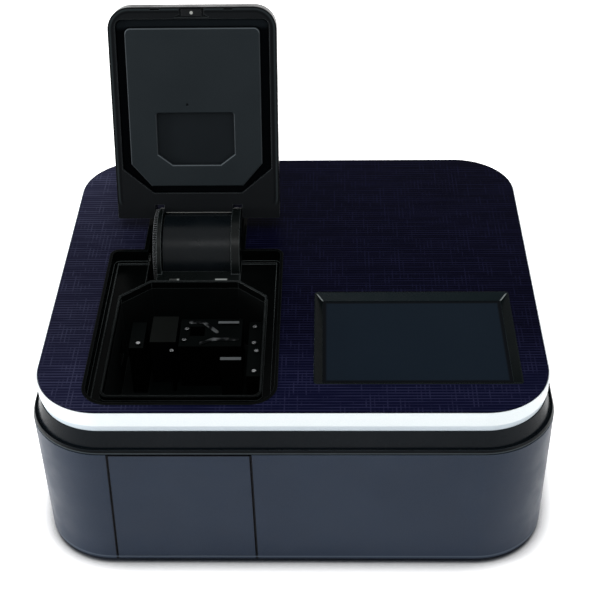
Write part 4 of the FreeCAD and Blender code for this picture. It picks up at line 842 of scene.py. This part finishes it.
def hinge_liner():
    """A thin dark wall that hangs from the bezel at the left and back of the hinge's opening."""
    bend = LINER_CORNER * 0.3
    bend_thick = LINER_THICK * 0.7
    outside = [
        (LINER_LEFT, LINER_FRONT),
        (LINER_LEFT, LINER_BACK - LINER_CORNER),
        (LINER_LEFT + bend, LINER_BACK - bend),
        (LINER_LEFT + LINER_CORNER, LINER_BACK),
        (LINER_RIGHT, LINER_BACK),
    ]
    inside = [
        (LINER_LEFT + LINER_THICK, LINER_FRONT),
        (LINER_LEFT + LINER_THICK, LINER_BACK - LINER_CORNER),
        (LINER_LEFT + bend + bend_thick, LINER_BACK - bend - bend_thick),
        (LINER_LEFT + LINER_CORNER, LINER_BACK - LINER_THICK),
        (LINER_RIGHT, LINER_BACK - LINER_THICK),
    ]
    count = len(outside)
    vertices = []
    for path in (outside, inside):
        for height in (LINER_LOW, LINER_HIGH):
            vertices += [(x, y, height) for x, y in path]
    faces = []
    for step in range(count - 1):
        out_low, out_high = step, count + step
        in_low, in_high = 2 * count + step, 3 * count + step
        faces.append((out_low, out_low + 1, out_high + 1, out_high))
        faces.append((in_low + 1, in_low, in_high, in_high + 1))
        faces.append((out_high, out_high + 1, in_high + 1, in_high))
        faces.append((out_low + 1, out_low, in_low, in_low + 1))
    for step in (0, count - 1):
        end = (step, count + step, 3 * count + step, 2 * count + step)
        faces.append(end if step == 0 else end[::-1])
    make_piece("hinge_liner", vertices, faces, SLOT_LOOKS["matte_black"])


SEAL_LOW_Z = SEAM_LOW_Z + 0.0015
SEAL_HIGH_Z = SEAM_HIGH_Z - 0.0005
SEAL_LOW_Y = -0.18245
SEAL_HIGH_Y = -0.18375
SEAL_HALF_WIDTH = 0.004
SEAL_THICK = 0.0012


def panel_seals():
    """Foam strips inside the housing, behind the service panel's upright seams."""
    look = moulded("seal_foam", (2, 2, 3), (4, 4, 5), 0.7, 0.02, grain=800.0, depth=0.00005)
    for index, (low_x, high_x) in enumerate(SEAMS):
        vertices = []
        for middle, front, z in (
            (low_x, SEAL_LOW_Y, SEAL_LOW_Z),
            (high_x, SEAL_HIGH_Y, SEAL_HIGH_Z),
        ):
            left, right = middle - SEAL_HALF_WIDTH, middle + SEAL_HALF_WIDTH
            back = front + SEAL_THICK
            vertices += [(left, front, z), (right, front, z), (right, back, z), (left, back, z)]
        faces = [(3, 2, 1, 0), (4, 5, 6, 7)]
        for step in range(4):
            after = (step + 1) % 4
            faces.append((step, after, 4 + after, 4 + step))
        make_piece("panel_seal_%d" % (index + 1), vertices, faces, look)


ribbed_wheel()
hinge_liner()
panel_seals()

# The camera at the photograph's viewpoint, angles in radians

CAMERA_PLACE = (0.029574, -0.93455, 0.84747)
CAMERA_PITCH = 0.6549
CAMERA_YAW = 0.0277
CAMERA_ROLL = 0.0195
CAMERA_LENS = 81.34

yaw = Matrix.Rotation(CAMERA_YAW, 3, "Z")
right = yaw @ Vector((1.0, 0.0, 0.0))
forward = yaw @ Vector((0.0, math.cos(CAMERA_PITCH), -math.sin(CAMERA_PITCH)))
down = yaw @ Vector((0.0, -math.sin(CAMERA_PITCH), -math.cos(CAMERA_PITCH)))
rolled_right = right * math.cos(CAMERA_ROLL) + down * math.sin(CAMERA_ROLL)
rolled_down = down * math.cos(CAMERA_ROLL) - right * math.sin(CAMERA_ROLL)
turn = Matrix((rolled_right, -rolled_down, -forward)).transposed()

camera_data = bpy.data.cameras.new("camera")
camera_data.sensor_width = 36.0
camera_data.lens = CAMERA_LENS
camera_data.clip_start = 0.05
camera_data.clip_end = 30.0
camera = bpy.data.objects.new("camera", camera_data)
camera.matrix_world = Matrix.Translation(CAMERA_PLACE) @ turn.to_4x4()
bpy.context.scene.collection.objects.link(camera)
bpy.context.scene.camera = camera

# The world, the floor and the lamps


def white_to_rays(tree, plain, bright):
    """Mixes a plain shader with a white one that only camera, mirror and glass rays meet."""
    path = tree.nodes.new("ShaderNodeLightPath")
    either = tree.nodes.new("ShaderNodeMath")
    either.operation = "MAXIMUM"
    tree.links.new(path.outputs["Is Camera Ray"], either.inputs[0])
    tree.links.new(path.outputs["Is Glossy Ray"], either.inputs[1])
    every = tree.nodes.new("ShaderNodeMath")
    every.operation = "MAXIMUM"
    tree.links.new(either.outputs[0], every.inputs[0])
    tree.links.new(path.outputs["Is Transmission Ray"], every.inputs[1])
    mixed = tree.nodes.new("ShaderNodeMixShader")
    tree.links.new(every.outputs[0], mixed.inputs["Fac"])
    tree.links.new(plain, mixed.inputs[1])
    tree.links.new(bright, mixed.inputs[2])
    return mixed.outputs[0]


ROOM_STRENGTH = 0.5

world = bpy.data.worlds.new("studio")
world.use_nodes = True
world_tree = world.node_tree
world_tree.nodes.clear()
backgrounds = []
for strength in (ROOM_STRENGTH, 1.0):
    background = world_tree.nodes.new("ShaderNodeBackground")
    background.inputs["Color"].default_value = WHITE
    background.inputs["Strength"].default_value = strength
    backgrounds.append(background.outputs[0])
world_output = world_tree.nodes.new("ShaderNodeOutputWorld")
world_tree.links.new(white_to_rays(world_tree, *backgrounds), world_output.inputs["Surface"])
bpy.context.scene.world = world

FLOOR_REACH = 6.0
CONTACT_DISTANCE = 0.03


def floor_material():
    """Pale floor. Rays that see it meet plain white, with a painted contact shadow where the
    object stands close.
    """
    graph = Graph("floor")
    pale = graph.mix(graph.noise(3.0), srgb(250, 250, 250), srgb(253, 253, 253))
    graph.finish(pale, 0.9, 0.1)
    nearby = graph.tree.nodes.new("ShaderNodeAmbientOcclusion")
    nearby.samples = 12
    nearby.inputs["Distance"].default_value = CONTACT_DISTANCE
    # A painted contact shadow, darkest where the object stands closest
    contact_shadow = graph.mix(graph.ramp(nearby.outputs["AO"], 0.3, 0.97), srgb(36, 40, 48), WHITE)
    doubled = graph.tree.nodes.new("ShaderNodeAddShader")
    for index in (0, 1):
        seen = graph.tree.nodes.new("ShaderNodeBsdfDiffuse")
        graph.link(contact_shadow, seen.inputs["Color"])
        graph.link(seen.outputs[0], doubled.inputs[index])
    surface = white_to_rays(graph.tree, graph.shader.outputs["BSDF"], doubled.outputs[0])
    graph.link(surface, graph.output.inputs["Surface"])
    return graph.material


floor_mesh = bpy.data.meshes.new("floor")
floor_mesh.from_pydata(
    [
        (-FLOOR_REACH, -FLOOR_REACH, 0.0),
        (FLOOR_REACH, -FLOOR_REACH, 0.0),
        (FLOOR_REACH, FLOOR_REACH, 0.0),
        (-FLOOR_REACH, FLOOR_REACH, 0.0),
    ],
    [],
    [(0, 1, 2, 3)],
)
floor_mesh.materials.append(floor_material())
floor = bpy.data.objects.new("floor", floor_mesh)
bpy.context.scene.collection.objects.link(floor)

LAMP_AIM = Vector((0.0, 0.0, 0.1))


def lamp(name, place, size, power, mirrored=True):
    """A square lamp aimed at the object."""
    data = bpy.data.lights.new(name, "AREA")
    data.shape = "SQUARE"
    data.size = size
    data.energy = power
    lamp_object = bpy.data.objects.new(name, data)
    bpy.context.scene.collection.objects.link(lamp_object)
    direction = LAMP_AIM - Vector(place)
    lamp_object.rotation_euler = direction.to_track_quat("-Z", "Y").to_euler()
    lamp_object.location = place
    lamp_object.visible_glossy = mirrored


lamp("top_softbox", (0.1, -0.2, 2.2), 1.6, 20.0, mirrored=False)
lamp("left_softbox", (-2.0, -0.4, 0.4), 0.4, 30.0)
lamp("right_softbox", (1.6, -1.3, 0.4), 0.25, 6.0)
lamp("front_fill", (0.0, -1.05, 1.85), 0.4, 5.0)

bpy.context.scene.view_settings.view_transform = "Standard"
